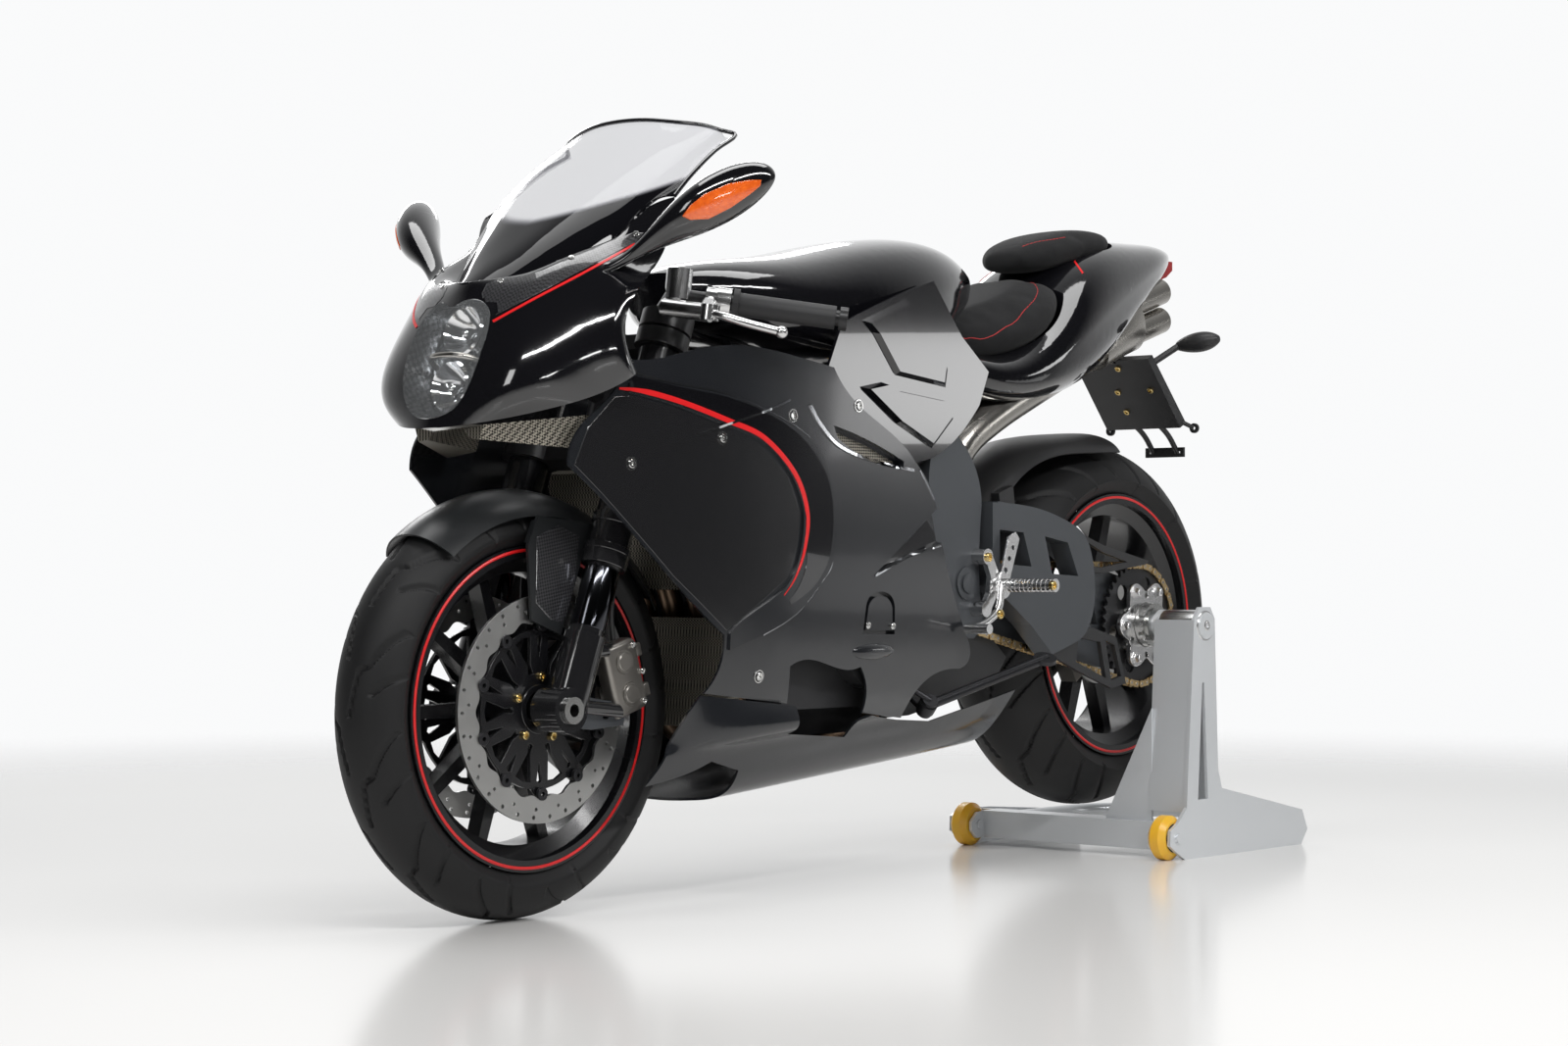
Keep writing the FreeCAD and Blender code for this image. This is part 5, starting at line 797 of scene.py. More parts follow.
def groove_depth(along, across, grooves, pitch):
    """How deep the tread is cut at a place on the crown."""
    deepest = 0.0
    for mirror, shift in ((1, 0.0), (-1, 0.5)):
        local = ((along / pitch + shift) % 1.0) * pitch
        for start, end in grooves:
            for wrap in (-pitch, 0.0, pitch):
                first = Vector((start[0] + wrap, start[1] * mirror))
                last = Vector((end[0] + wrap, end[1] * mirror))
                run = last - first
                here = Vector((local, across)) - first
                share = min(1.0, max(0.0, here.dot(run) / run.length_squared))
                left = TREAD_HALF_WIDTH - (here - run * share).length
                if left > 0:
                    deepest = max(deepest, TREAD_DEPTH * min(1.0, left / (TREAD_HALF_WIDTH * TREAD_SLOPE)))
    return deepest


def tyre(body, centre, radius, width, drop, foot, grooves):
    """A tyre with its tread cut in, spun about its axle."""
    node = body.replace("wheel", "tyre")
    build = bmesh.new()
    verts = [build.verts.new((centre.x + height, across, centre.z))
             for across, height in tyre_profile(radius, width, drop, *foot)]
    edges = [build.edges.new(pair) for pair in zip(verts, verts[1:])]
    bmesh.ops.spin(build, geom=verts + edges, cent=centre, axis=(0, 1, 0), angle=2 * math.pi,
                   steps=TYRE_STEPS, use_merge=True)
    lowest = (radius - drop) * TREAD_FROM
    pitch = 2 * math.pi * radius / TREAD_REPEATS
    for vertex in build.verts:
        arm = Vector((vertex.co.x - centre.x, vertex.co.z - centre.z))
        reach = arm.length
        if reach < lowest:
            continue
        angle = math.atan2(arm.y, arm.x) + math.pi
        cut = groove_depth(angle * radius, vertex.co.y, grooves, pitch)
        if cut:
            shrink = (reach - cut) / reach
            vertex.co.x = centre.x + arm.x * shrink
            vertex.co.z = centre.z + arm.y * shrink
    bmesh.ops.recalc_face_normals(build, faces=build.faces)
    piece(node + "_treaded", build, body, "tyre_rubber", (node,))


# Each tyre's width, shoulder drop and bead as (radius, half width), then its grooves
FRONT_SECTION = (0.120, 0.050, (0.2305, 0.0475))
FRONT_GROOVES = [((0.000, 0.006), (0.062, 0.017)), ((0.062, 0.017), (0.070, 0.030)),
                 ((0.070, 0.030), (0.130, 0.056)), ((0.030, 0.036), (0.062, 0.060))]
REAR_SECTION = (0.190, 0.066, (0.2305, 0.0795))
REAR_GROOVES = [((0.000, 0.010), (0.075, 0.030)), ((0.075, 0.030), (0.085, 0.046)),
                ((0.085, 0.046), (0.150, 0.090)), ((0.020, 0.050), (0.070, 0.094))]


def tyres():
    tyre("front_wheel", front_axle, front_radius, *FRONT_SECTION, FRONT_GROOVES)
    tyre("rear_wheel", rear_axle, rear_radius, *REAR_SECTION, REAR_GROOVES)


RIM_LINE_THICKNESS = 0.0028
RIM_LINE_INSET = 0.006
RIM_LINE_SINK = 0.0012


def rim_lines():
    """The thin red lines round the rims."""
    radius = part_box("front_rim")[1].z - front_axle.z - RIM_LINE_INSET
    for word, side in SIDES:
        for end, centre in (("front", front_axle), ("rear", rear_axle)):
            y = side * (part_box(end + "_rim")[1].y - RIM_LINE_SINK)
            points = [near(centre, y, polar(radius, angle)) for angle in ring_of(120)]
            mesh = rod_mesh(points, RIM_LINE_THICKNESS, closed=True, sides=2)
            piece_of_mesh(end + "_rim_line_" + word, mesh, end + "_wheel", "rim_line")


DISC_OUTER = 0.160
DISC_INNER = 0.1245
DISC_WAVES = 20
DISC_WAVE = 0.0028
DISC_THICKNESS = 0.005
DISC_Y = 0.068
DISC_HOLES = ((0.1520, 0.0034, 30, 0.0), (0.1405, 0.0030, 20, 0.25))
BUTTONS = 10
BUTTON_CIRCLE = 0.119
BUTTON_Y = 0.0705
BUTTON_RADIUS = 0.0085
BUTTON_BORE = 0.0042


def front_brakes():
    """The drilled front discs with their floating buttons."""
    holes = [[polar(DISC_INNER - DISC_WAVE * math.cos(DISC_WAVES * angle + math.pi), angle)
              for angle in ring_of(240)]]
    for radius, size, count, shift in DISC_HOLES:
        holes += [circle(size, 12, polar(radius, angle)) for angle in ring_of(count, shift)]
    for word, side in SIDES:
        meshes = [stood_up(flat_mesh(circle(DISC_OUTER, 180), holes, DISC_THICKNESS, 0.0003),
                           near(front_axle, side * DISC_Y))]
        disc = piece_of_mesh("front_disc_drilled_" + word, joined_mesh("disc", meshes), "front_wheel",
                             "disc_steel")
        if side > 0:
            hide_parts("front_discs")
        buttons = []
        for angle in ring_of(BUTTONS, 0.5):
            button = flat_mesh(circle(BUTTON_RADIUS, 20), [circle(BUTTON_BORE, 12)], 0.006, 0.0008)
            buttons.append(stood_up(button, near(front_axle, side * BUTTON_Y, polar(BUTTON_CIRCLE, angle))))
        piece_of_mesh("disc_buttons_" + word, joined_mesh("buttons", buttons), "front_wheel", "steel_dark")


CARRIER_ARMS = 10
CARRIER_HUB = 0.026
CARRIER_RIM = 0.1120
CARRIER_LOBE = 0.0105
CARRIER_Y = 0.062
CARRIER_BOLTS = 5
CARRIER_BOLT_CIRCLE = 0.046
CARRIER_BOLT_Y = 0.0655
HUB_SLEEVE_Y = 0.066
# The windows in a forked arm and between two arms, as (radius, angle from its middle)
ARM_WINDOW = ((0.101, -0.055), (0.074, -0.012), (0.074, 0.012), (0.101, 0.055), (0.1045, 0.0))
OPEN_WINDOW = ((0.1035, -0.155), (0.106, 0.0), (0.1035, 0.155), (0.066, 0.055), (0.052, 0.10), (0.050, 0.0),
               (0.052, -0.10), (0.066, -0.055))
HUB_SLEEVE = [(0.026, 0.0), (0.034, 0.0), (0.037, -0.003), (0.037, -0.016), (0.026, -0.016)]


def disc_carriers():
    """The forked carriers between the hub and the floating discs."""
    outline = []
    for angle in ring_of(240):
        lobe = max(0.0, math.cos(CARRIER_ARMS * angle + math.pi)) ** 3
        outline.append(polar(CARRIER_RIM + CARRIER_LOBE * lobe, angle))
    holes = [circle(CARRIER_HUB, 40)]
    for arm in ring_of(CARRIER_ARMS, 0.5):
        for middle, window in ((arm, ARM_WINDOW), (arm + math.pi / CARRIER_ARMS, OPEN_WINDOW)):
            holes.append([polar(radius, middle + angle) for radius, angle in window])
    for word, side in SIDES:
        plate = flat_mesh(outline, holes, 0.006, 0.0008)
        parts = [of_mesh(stood_up(plate, near(front_axle, side * CARRIER_Y))),
                 turned_profile(HUB_SLEEVE, near(front_axle, side * HUB_SLEEVE_Y), (0, side, 0), 48)]
        piece("disc_carrier_" + word, merged(parts), "front_wheel", "wheel_black",
              ("front_disc_carriers",) if side > 0 else ())
        bolts = [bolt(near(front_axle, side * CARRIER_BOLT_Y, polar(CARRIER_BOLT_CIRCLE, angle)),
                      (0, side, 0), 0.0062, 0.0045) for angle in ring_of(CARRIER_BOLTS, 0.3)]
        piece("carrier_bolts_" + word, merged(bolts), "front_wheel", "bolt_gold")


CALIPER_ANGLE = math.radians(163)
CALIPER_BOW = 0.012
# The caliper's outer and inner half as (inner y, outer y, half height)
CALIPER_HALVES = ((0.080, 0.108, 0.053), (0.047, 0.063, 0.046))
CALIPER_REACH = (0.116, 0.182)
CALIPER_ROUNDING = 0.0075
# The bridges over the disc: their reach from the axle, their inner and outer y, and their heights
BRIDGE_REACH = (0.170, 0.185)
BRIDGE_Y = (0.050, 0.104)
BRIDGE_HEIGHTS = ((-0.040, -0.020), (0.020, 0.040))
PISTON_REACH = 0.141
PISTON_HEIGHTS = (-0.024, 0.024)
CALIPER_FACE_Y = 0.108
CALIPER_BOLT_REACH = 0.172
CALIPER_BOLT_HEIGHTS = (-0.042, 0.0, 0.042)
PISTON_CAP = [(0.0001, 0.0035), (0.012, 0.0035), (0.0135, 0.002), (0.0165, 0.002), (0.0175, 0.0),
              (0.0175, -0.004)]


def calipers():
    """The four-bolt radial calipers with their pistons' caps and bolts."""
    turn = Matrix.Translation(near(front_axle, 0)) @ Matrix.Rotation(-CALIPER_ANGLE, 4, "Y")
    for word, side in SIDES:
        bodies = []
        for low_y, high_y, half in CALIPER_HALVES:
            body = block((CALIPER_REACH[0], low_y, -half), (CALIPER_REACH[1], high_y, half), CALIPER_ROUNDING,
                         segments=4)
            for vertex in body.verts:
                vertex.co.x -= CALIPER_BOW * (vertex.co.z / half) ** 2
            bodies.append(body)
        bodies += [block((BRIDGE_REACH[0], BRIDGE_Y[0], low), (BRIDGE_REACH[1], BRIDGE_Y[1], high), 0.003)
                   for low, high in BRIDGE_HEIGHTS]
        bodies += [turned_profile(PISTON_CAP, (PISTON_REACH, CALIPER_FACE_Y, height), (0, 1, 0), 28)
                   for height in PISTON_HEIGHTS]
        bolts = [bolt((CALIPER_BOLT_REACH - abs(height) * 0.2, CALIPER_FACE_Y + 0.0005, height), (0, 1, 0),
                      0.0046, 0.003) for height in CALIPER_BOLT_HEIGHTS]
        for group, name, look, gone in ((bodies, "caliper_body_", "caliper_grey", ("front_calipers",)),
                                        (bolts, "caliper_bolts_", "bolt_steel", ())):
            build = merged(group)
            bmesh.ops.transform(build, matrix=turn, verts=build.verts)
            if side < 0:
                mirrored(build)
            piece(name + word, build, "steering", look, gone if side > 0 else ())


RAKE = math.radians(20.5)
STEM_X = 0.485
STEM_Z = 0.828
FORK_AHEAD = 0.03203
FORK_Y = 0.105
SLIDER_LOW = 0.412
SLIDER_HIGH = 0.496
SLIDER_RADIUS = 0.0256
RING_BORE = 0.0296
# Each seal ring as (start, height, radius)
SEAL_RINGS = ((0.0, 0.016, 0.0330), (0.020, 0.010, 0.0342), (0.062, 0.014, 0.0330))
CALIPER_MOUNT = [(-0.012, 0.024), (-0.012, -0.022), (-0.070, -0.030), (-0.134, -0.026), (-0.140, 0.004),
                 (-0.090, 0.010)]
MOUNT_Y = 0.094
MOUNT_HOLES = ((0.006, 16, (-0.055, -0.008)), (0.008, 16, (-0.098, -0.010)))


def fork_details():
    """The metal sliders, their seal rings and the caliper mounts."""
    axis = Vector((-math.sin(RAKE), 0, math.cos(RAKE)))
    length = (SLIDER_HIGH - SLIDER_LOW) / math.cos(RAKE)
    slider_x = STEM_X + (STEM_Z - SLIDER_LOW) * math.tan(RAKE) + FORK_AHEAD
    for word, side in SIDES:
        base = Vector((slider_x, side * FORK_Y, SLIDER_LOW))
        slider = turned_profile([(SLIDER_RADIUS - 0.0004, 0.0), (SLIDER_RADIUS, 0.001),
                                 (SLIDER_RADIUS, length - 0.001), (SLIDER_RADIUS - 0.0004, length)],
                                base, axis, 56)
        piece("fork_slider_" + word, slider, "steering", "fork_slider")
        rings = []
        for start, tall, radius in SEAL_RINGS:
            foot = base + axis * (length + start + 0.004)
            rings.append(turned_profile([(RING_BORE, 0.0), (radius - 0.001, 0.0), (radius, 0.001),
                                         (radius, tall - 0.001), (radius - 0.001, tall), (RING_BORE, tall)],
                                        foot, axis, 56))
        piece("fork_rings_" + word, merged(rings), "steering", "fork_gloss")
        mount = stood_up(flat_mesh(CALIPER_MOUNT, [circle(*hole) for hole in MOUNT_HOLES], 0.012, 0.001),
                         near(front_axle, side * MOUNT_Y))
        piece_of_mesh("caliper_mount_" + word, joined_mesh("mount", [mount]), "steering", "cast_grey")


FLANGE_LOBES = 6
FLANGE_RADIUS = 0.056
FLANGE_REACH = 0.023
FLANGE_THICKNESS = 0.009
FLANGE_BORE = 0.040
FLANGE_Y = 0.1415
FLANGE_HOLE_CIRCLE = 0.052
FLANGE_NUT_CIRCLE = 0.066
FLANGE_NUT_Y = 0.1455
FLANGE_NUT = [(0.0001, 0.010), (0.0050, 0.010), (0.0062, 0.0085), (0.0080, 0.0080), (0.0085, 0.0025),
              (0.0108, 0.0025), (0.0112, 0.0)]


def sprocket_flange():
    """The polished six-lobed carrier of the rear sprocket, with its nuts."""
    outline = []
    for angle in ring_of(216):
        lobe = 0.5 + 0.5 * math.cos(FLANGE_LOBES * angle)
        outline.append(polar(FLANGE_RADIUS + FLANGE_REACH * lobe ** 0.8, angle))
    holes = [circle(FLANGE_BORE, 40)]
    holes += [circle(0.0065, 18, polar(FLANGE_HOLE_CIRCLE, angle)) for angle in ring_of(FLANGE_LOBES, 0.5)]
    plate = flat_mesh(outline, holes, FLANGE_THICKNESS, 0.0016)
    parts = [of_mesh(stood_up(plate, near(rear_axle, FLANGE_Y)))]
    parts += [turned_profile(FLANGE_NUT, near(rear_axle, FLANGE_NUT_Y, polar(FLANGE_NUT_CIRCLE, angle)),
                             (0, 1, 0), 6) for angle in ring_of(FLANGE_LOBES)]
    piece("sprocket_flange", merged(parts), "rear_wheel", "alloy_bright")


# Bodywork trim and lines of painted highlight, as (x, z) in metres from the side or as pixels of the
# photograph
FRONT_ARC = [(0.700, 0.750), (0.640, 0.746), (0.570, 0.733), (0.485, 0.711), (0.409, 0.688), (0.343, 0.637),
             (0.316, 0.580), (0.322, 0.526), (0.342, 0.484), (0.366, 0.458)]
NOSE_LINE_PIXELS = [(494, 333), (545, 305), (600, 276), (648, 249)]
CARBON_PANEL_PIXELS = [(493, 328), (489, 300), (494, 290), (520, 280), (580, 262), (649, 236), (660, 236),
                       (652, 246), (600, 273), (545, 302)]
PANEL_STUD_PIXELS = [(511, 287), (583, 263), (649, 239)]
LENS_PIXELS = [(695, 221), (703, 210), (718, 198), (743, 187), (765, 183), (778, 183), (777, 189), (766, 198),
               (746, 212), (722, 224), (703, 225)]
FASTENER_PIXELS = [(644, 473), (737, 447), (809, 424), (774, 690), (876, 414)]
FASTENER_RING = [(0.0082, -0.001), (0.0084, 0.0012), (0.0098, 0.0012), (0.0100, -0.001)]
TAIL_LINE_PIXELS = [(1107, 240), (1092, 249), (1094, 262), (1105, 279)]
# A gloss edge and a seam of the fairing, where strips of painted highlight are laid
EDGE_HIGHLIGHT_PIXELS = [(826, 413), (836, 432), (856, 455), (890, 470), (932, 480)]
SEAM_PIXELS = [(711, 444), (745, 432), (780, 420), (806, 408)]
FENDER_PANEL_PIXELS = [(547, 546), (570, 534), (592, 546), (587, 596), (577, 638), (562, 634), (546, 616)]
NOTCH = [(0.146, 0.492), (0.012, 0.578), (-0.012, 0.556), (-0.018, 0.536)]
# The notch's two edges, where strips of painted highlight are laid
NOTCH_EDGES = [[(0.152, 0.486), (0.085, 0.531), (0.012, 0.582)],
               [(0.152, 0.486), (0.065, 0.516), (-0.020, 0.534)]]
VENT_FIELD = [(0.244, 0.707), (0.160, 0.686), (0.086, 0.661), (0.090, 0.655), (0.130, 0.659), (0.184, 0.672),
              (0.238, 0.696)]
COVER_SCREWS = [(0.106, 0.409), (0.167, 0.411)]
# The rear edge of the panel, where a strip of painted highlight is laid
REAR_EDGE = [(0.070, 0.682), (0.010, 0.612), (-0.018, 0.560), (-0.040, 0.500), (-0.062, 0.444)]
CREST_LINE = [(0.666, 0.758), (0.572, 0.7415), (0.488, 0.7265), (0.410, 0.706), (0.340, 0.668),
              (0.300, 0.622), (0.288, 0.575), (0.291, 0.525), (0.303, 0.492), (0.326, 0.466), (0.352, 0.447)]
CREST_HALVES = (0.011, 0.0135, 0.0195, 0.0205, 0.028, 0.033, 0.0325, 0.029, 0.019, 0.010, 0.003)
# The crest's edge, where a strip of painted highlight is laid
CREST_EDGE = [(0.664, 0.774), (0.574, 0.759), (0.491, 0.751), (0.406, 0.731), (0.315, 0.697), (0.266, 0.645),
              (0.250, 0.571), (0.254, 0.509), (0.277, 0.479), (0.334, 0.430), (0.403, 0.400)]
FRONT_PANEL = [(0.666, 0.741), (0.570, 0.723), (0.487, 0.701), (0.415, 0.680), (0.353, 0.633), (0.326, 0.580),
               (0.332, 0.529), (0.355, 0.482), (0.406, 0.449), (0.478, 0.406), (0.585, 0.485), (0.712, 0.600),
               (0.760, 0.641), (0.737, 0.694), (0.692, 0.738)]
INNER_PANEL = [(0.030, 0.262), (-0.040, 0.264), (-0.262, 0.306), (-0.300, 0.350), (-0.235, 0.402),
               (-0.100, 0.405), (0.030, 0.420)]
INNER_PANEL_Y = 0.118
ARC_HALF = 0.0048
ARC_START = 0.12
ARC_END = 0.35
ARC_LEAST = 0.12


def arc_half(share):
    """Half the red arc's width, which grows from a point and shrinks to one."""
    return ARC_HALF * max(ARC_LEAST, min(1.0, share / ARC_START, (1 - share) / ARC_END))


def crest_half(share):
    """Half the crest's width at a share of its length."""
    place = share * (len(CREST_HALVES) - 1)
    index = min(int(place), len(CREST_HALVES) - 2)
    return CREST_HALVES[index] + (CREST_HALVES[index + 1] - CREST_HALVES[index]) * (place - index)


def line_on(put, line, half, rise, shares=NARROW):
    """A strip along a smoothed line, with a steady half width or one that follows its length."""
    half_width = half if callable(half) else lambda share: half
    return strip(smooth_line(line), half_width, put, rise, shares)


def lay(name, builds, finish_name, body="chassis"):
    """Trim on both sides of the bike, as one piece."""
    whole = builds[0] if len(builds) == 1 else merged(builds)
    piece(name, both_sides(whole), body, finish_name)


def lines_and_panels():
    """The red lines, the carbon panel and its studs, and bright strips of painted highlight along a fairing
    edge and seam, laid on the bodywork.
    """
    side = from_side(surface_of("side_fairing_left"))
    nose = from_camera(surface_of("nose_fairing"))
    fairing = from_camera(surface_of("side_fairing_left"))
    tail = from_camera(surface_of("tail_unit"))
    lay("fairing_red_arc", [line_on(side, FRONT_ARC, arc_half, 0.0009)], "red_line")
    lay("nose_red_line", [line_on(nose, NOSE_LINE_PIXELS, 1.35, 0.0009)], "red_line")
    lay("nose_carbon_panel", [patch(CARBON_PANEL_PIXELS, nose, 0.0006)], "carbon")
    lay("tail_red_line", [line_on(tail, TAIL_LINE_PIXELS, 1.1, 0.0008)], "red_line")
    # Raised strips on the fairing's gloss edge and seam, in bright metal as painted highlight
    lay("fairing_edge_painted_highlight", [line_on(fairing, EDGE_HIGHLIGHT_PIXELS, 1.9, 0.0024),
                              line_on(fairing, SEAM_PIXELS, 1.4, 0.0018)], "edge_gloss")
    studs = []
    for pixel in PANEL_STUD_PIXELS:
        found = nose(pixel)
        if found:
            studs.append(bolt(*found, 0.0045, 0.0022, 0.3))
    for pixel in FASTENER_PIXELS:
        found = fairing(pixel)
        if found:
            studs.append(bolt(*found, 0.0062, 0.0035, 0.35))
            studs.append(turned_profile(FASTENER_RING, *found, 20))
    lay("body_fasteners", studs, "bolt_steel")


def fairing_details():
    """The glossy notch, vent mesh, edges in bright metal as painted highlight, and cover screws of the side
    panels.
    """
    side = from_side(surface_of("side_fairing_left"))
    lay("fairing_crest", [line_on(side, CREST_LINE, crest_half, 0.0006, BROAD)], "gloss_paint")
    lay("fairing_front_panel", [patch(FRONT_PANEL, side, 0.0009, 9, 0.02)], "panel_weave")
    # A raised strip along the crest's edge, in bright metal as painted highlight
    lay("crest_painted_highlight", [line_on(side, CREST_EDGE, 0.0011, 0.0012)], "edge_gloss")
    plate = stood_up(flat_mesh(INNER_PANEL, [], 0.004, 0.0006), Vector((0, INNER_PANEL_Y, 0)))
    piece("belly_inner_panel", of_mesh(plate), "chassis", "matte_plastic")
    lay("fairing_notch", [patch(NOTCH, side, 0.0006)], "gloss_paint")
    lay("fairing_vent_mesh", [patch(VENT_FIELD, side, 0.0008)], "grille_weave")
    # Raised strips along the notch's edges and the rear edge, in bright metal as painted highlight
    edges = [line_on(side, line, 0.0016, 0.0014) for line in NOTCH_EDGES]
    edges.append(line_on(side, REAR_EDGE, 0.0020, 0.0014))
    lay("fairing_painted_highlight_edges", edges, "edge_gloss")
    lay("cover_screws", [bolt(*side(place), 0.0055, 0.004) for place in COVER_SCREWS], "bolt_steel")


def fender_panels():
    """The woven plates on the fender's arms."""
    put = from_camera(surface_of("front_fender"))
    lay("fender_panels", [patch(FENDER_PANEL_PIXELS, put, 0.0008)], "carbon", "steering")


def mirror_lenses():
    for word, side in SIDES:
        build = patch(LENS_PIXELS, from_camera(surface_of("mirror_left")), 0.0012)
        if side < 0:
            mirrored(build)
        piece("mirror_lens_" + word, build, "chassis", "amber_lens")


SCREEN_TOP = [(0.500, 0, 1.160), (0.496, 0.052, 1.158), (0.484, 0.098, 1.152), (0.466, 0.136, 1.146),
              (0.450, 0.158, 1.138), (0.435, 0.174, 1.130)]
SCREEN_BEAD = 0.0032
SCREEN_SIDE = [(0.486, 0.180, 1.102), (0.540, 0.184, 1.062), (0.578, 0.186, 1.0275)]


def screen_trim():
    """The black bead round the edge of the screen."""
    left = SCREEN_TOP + SCREEN_SIDE
    right = [(x, -y, z) for x, y, z in reversed(left[1:])]
    line = smooth_line([Vector(point) for point in right + left], 4)
    mesh = rod_mesh(line, SCREEN_BEAD, sides=3, smooth=False)
    piece_of_mesh("screen_edge_bead", mesh, "chassis", "gloss_paint")


LAMP_MIDDLE = Vector((0.0, 0.0, 0.790))
LAMP_FACING = 0.30
LAMP_SHRINK = 0.95
LAMP_SETBACK = 0.010
# Each reflector as (x, z, radius, lean)
REFLECTORS = ((0.8125, 0.830, 0.034, 0.30), (0.838, 0.752, 0.032, 0.16))
BOWL_DEPTH = 0.030
BOWL_STEPS = 8
BULB_RADIUS = 0.009
BULB_OFFSET = Vector((-0.012, 0, -0.003))
BROW_RADIUS = 0.0045
BROW = [(0.806, 0.060, 0.780), (0.842, 0.034, 0.792), (0.850, 0, 0.795), (0.842, -0.034, 0.792),
        (0.806, -0.060, 0.780)]


def headlight():
    """The lamp: a clear front over a bright shell and housing, with two stacked reflectors."""
    front = bmesh.new()
    front.from_mesh(nodes["headlight"].data)
    housing = front.copy()
    shell = front.copy()
    for build, kept in ((front, True), (shell, False)):
        gone = [face for face in build.faces if (face.normal.x >= LAMP_FACING) != kept]
        bmesh.ops.delete(build, geom=gone, context="FACES")
    piece("headlight_shell", shell, "chassis", "lamp_facets")
    lens = piece("headlight_lens", front, "chassis", "lamp_lens", ("headlight",))
    lens.visible_shadow = False
    for vertex in housing.verts:
        vertex.co = LAMP_MIDDLE + (vertex.co - LAMP_MIDDLE) * LAMP_SHRINK
        vertex.co.x -= LAMP_SETBACK
    piece("headlight_housing", housing, "chassis", "lamp_facets")
    bowls = []
    for x, z, radius, lean in REFLECTORS:
        profile = [(0.0001, -BOWL_DEPTH)]
        for step in range(1, BOWL_STEPS + 1):
            share = step / BOWL_STEPS
            profile.append((radius * share, BOWL_DEPTH * (share ** 2 - 1)))
        profile += [(radius + 0.002, 0.0035), (radius + 0.005, 0.0005), (radius + 0.005, -0.012)]
        bowls.append(turned_profile(profile, (x, 0, z), (1, 0, lean), 40))
        bowls.append(ball(Vector((x, 0, z)) + BULB_OFFSET, BULB_RADIUS, (1.5, 1, 1)))
    piece("headlight_reflectors", merged(bowls), "chassis", "chrome")
    brow = rod_mesh(smooth_line([Vector(point) for point in BROW], 6), BROW_RADIUS, smooth=False)
    piece_of_mesh("headlight_brow", brow, "chassis", "steel_brushed")


# Chain
CHAIN_Y = 0.124
CHAIN_PITCH = 0.015875
FRONT_TEETH = 15
REAR_TEETH = 41
FRONT_SPROCKET = Vector((-0.045, 0.468))


def pitch_radius(teeth):
    return CHAIN_PITCH / (2 * math.sin(math.pi / teeth))


def chain_places():
    """The places of the link pins round both sprockets."""
    front = FRONT_SPROCKET
    rear = Vector((rear_axle.x, rear_axle.z))
    small = pitch_radius(FRONT_TEETH)
    large = pitch_radius(REAR_TEETH)
    between = front - rear
    reach = between.length
    along = between / reach
    aside = Vector((-along.y, along.x))
    lean = math.asin((large - small) / reach)
    straight = math.sqrt(reach ** 2 - (large - small) ** 2)
    front_wrap = math.pi - 2 * lean
    rear_wrap = math.pi + 2 * lean
    total = 2 * straight + front_wrap * small + rear_wrap * large
    count = 2 * round(total / CHAIN_PITCH / 2)
    top_normal = aside * math.cos(lean) + along * math.sin(lean)
    low_normal = Matrix.Rotation(-front_wrap, 2) @ top_normal

    def at(distance):
        if distance < straight:
            return rear + top_normal * large + Vector((top_normal.y, -top_normal.x)) * distance
        distance -= straight
        if distance < front_wrap * small:
            return front + Matrix.Rotation(-distance / small, 2) @ top_normal * small
        distance -= front_wrap * small
        if distance < straight:
            return front + low_normal * small + Vector((low_normal.y, -low_normal.x)) * distance
        distance -= straight
        return rear + Matrix.Rotation(-distance / large, 2) @ low_normal * large

    return [at(total / count * index) for index in range(count)]


LINK_RADIUS = 0.0070
LINK_WAIST = 0.0052
LINK_THICKNESS = 0.0018
OUTER_LINK_Y = 0.0073
INNER_LINK_Y = 0.0050
CHAIN_ROLLER = [(0.0001, -0.0085), (0.0028, -0.0085), (0.0028, -0.0046), (0.0050, -0.0046), (0.0050, 0.0046),
                (0.0028, 0.0046), (0.0028, 0.0085), (0.0001, 0.0085)]


def link_outline(length):
    """The waisted outline of one link plate."""
    outline = []
    for end, start in ((1, -60), (-1, 120)):
        for part in range(7):
            across, upwards = polar(LINK_RADIUS, math.radians(start + 120 * part / 6))
            outline.append((end * length / 2 + across, upwards))
        outline.append((0, end * LINK_WAIST))
    return outline


def chain():
    pins = chain_places()
    plates = []
    rollers = []
    for index, place in enumerate(pins):
        following = pins[(index + 1) % len(pins)]
        middle = (place + following) / 2
        gap = following - place
        turn = Matrix.Rotation(-math.atan2(gap.y, gap.x), 4, "Y")
        for side in (-1, 1):
            y = CHAIN_Y + side * (INNER_LINK_Y if index % 2 else OUTER_LINK_Y)
            mesh = flat_mesh(link_outline(gap.length), [], LINK_THICKNESS)
            mesh.transform(Matrix.Translation((middle.x, y, middle.y)) @ turn @ FACING_LEFT)
            plates.append(of_mesh(mesh))
        rollers.append(turned_profile(CHAIN_ROLLER, (place.x, CHAIN_Y, place.y), (0, 1, 0), 8))
    piece("chain_plates", merged(plates), "chassis", "chain_gold", ("chain",))
    piece("chain_rollers", merged(rollers), "chassis", "steel_brushed")


# Stand
HUB_CAP = [(0.0001, 0.0022), (0.007, 0.0022), (0.008, 0.0012), (0.008, -0.002)]
HUB_RING = [(0.021, -0.001), (0.0215, 0.0010), (0.0245, 0.0010), (0.025, -0.001)]
HUB_SPOKES = 6
SPOKE_REACH = (0.006, 0.022)
SPOKE_HALF = 0.0022
SLEEVE = [(0.0225, 0.187), (0.0262, 0.187), (0.0270, 0.188), (0.0270, 0.2655), (0.0255, 0.2680),
          (0.0140, 0.2680), (0.0130, 0.2672), (0.0001, 0.2672)]
SLEEVE_END = 0.2672


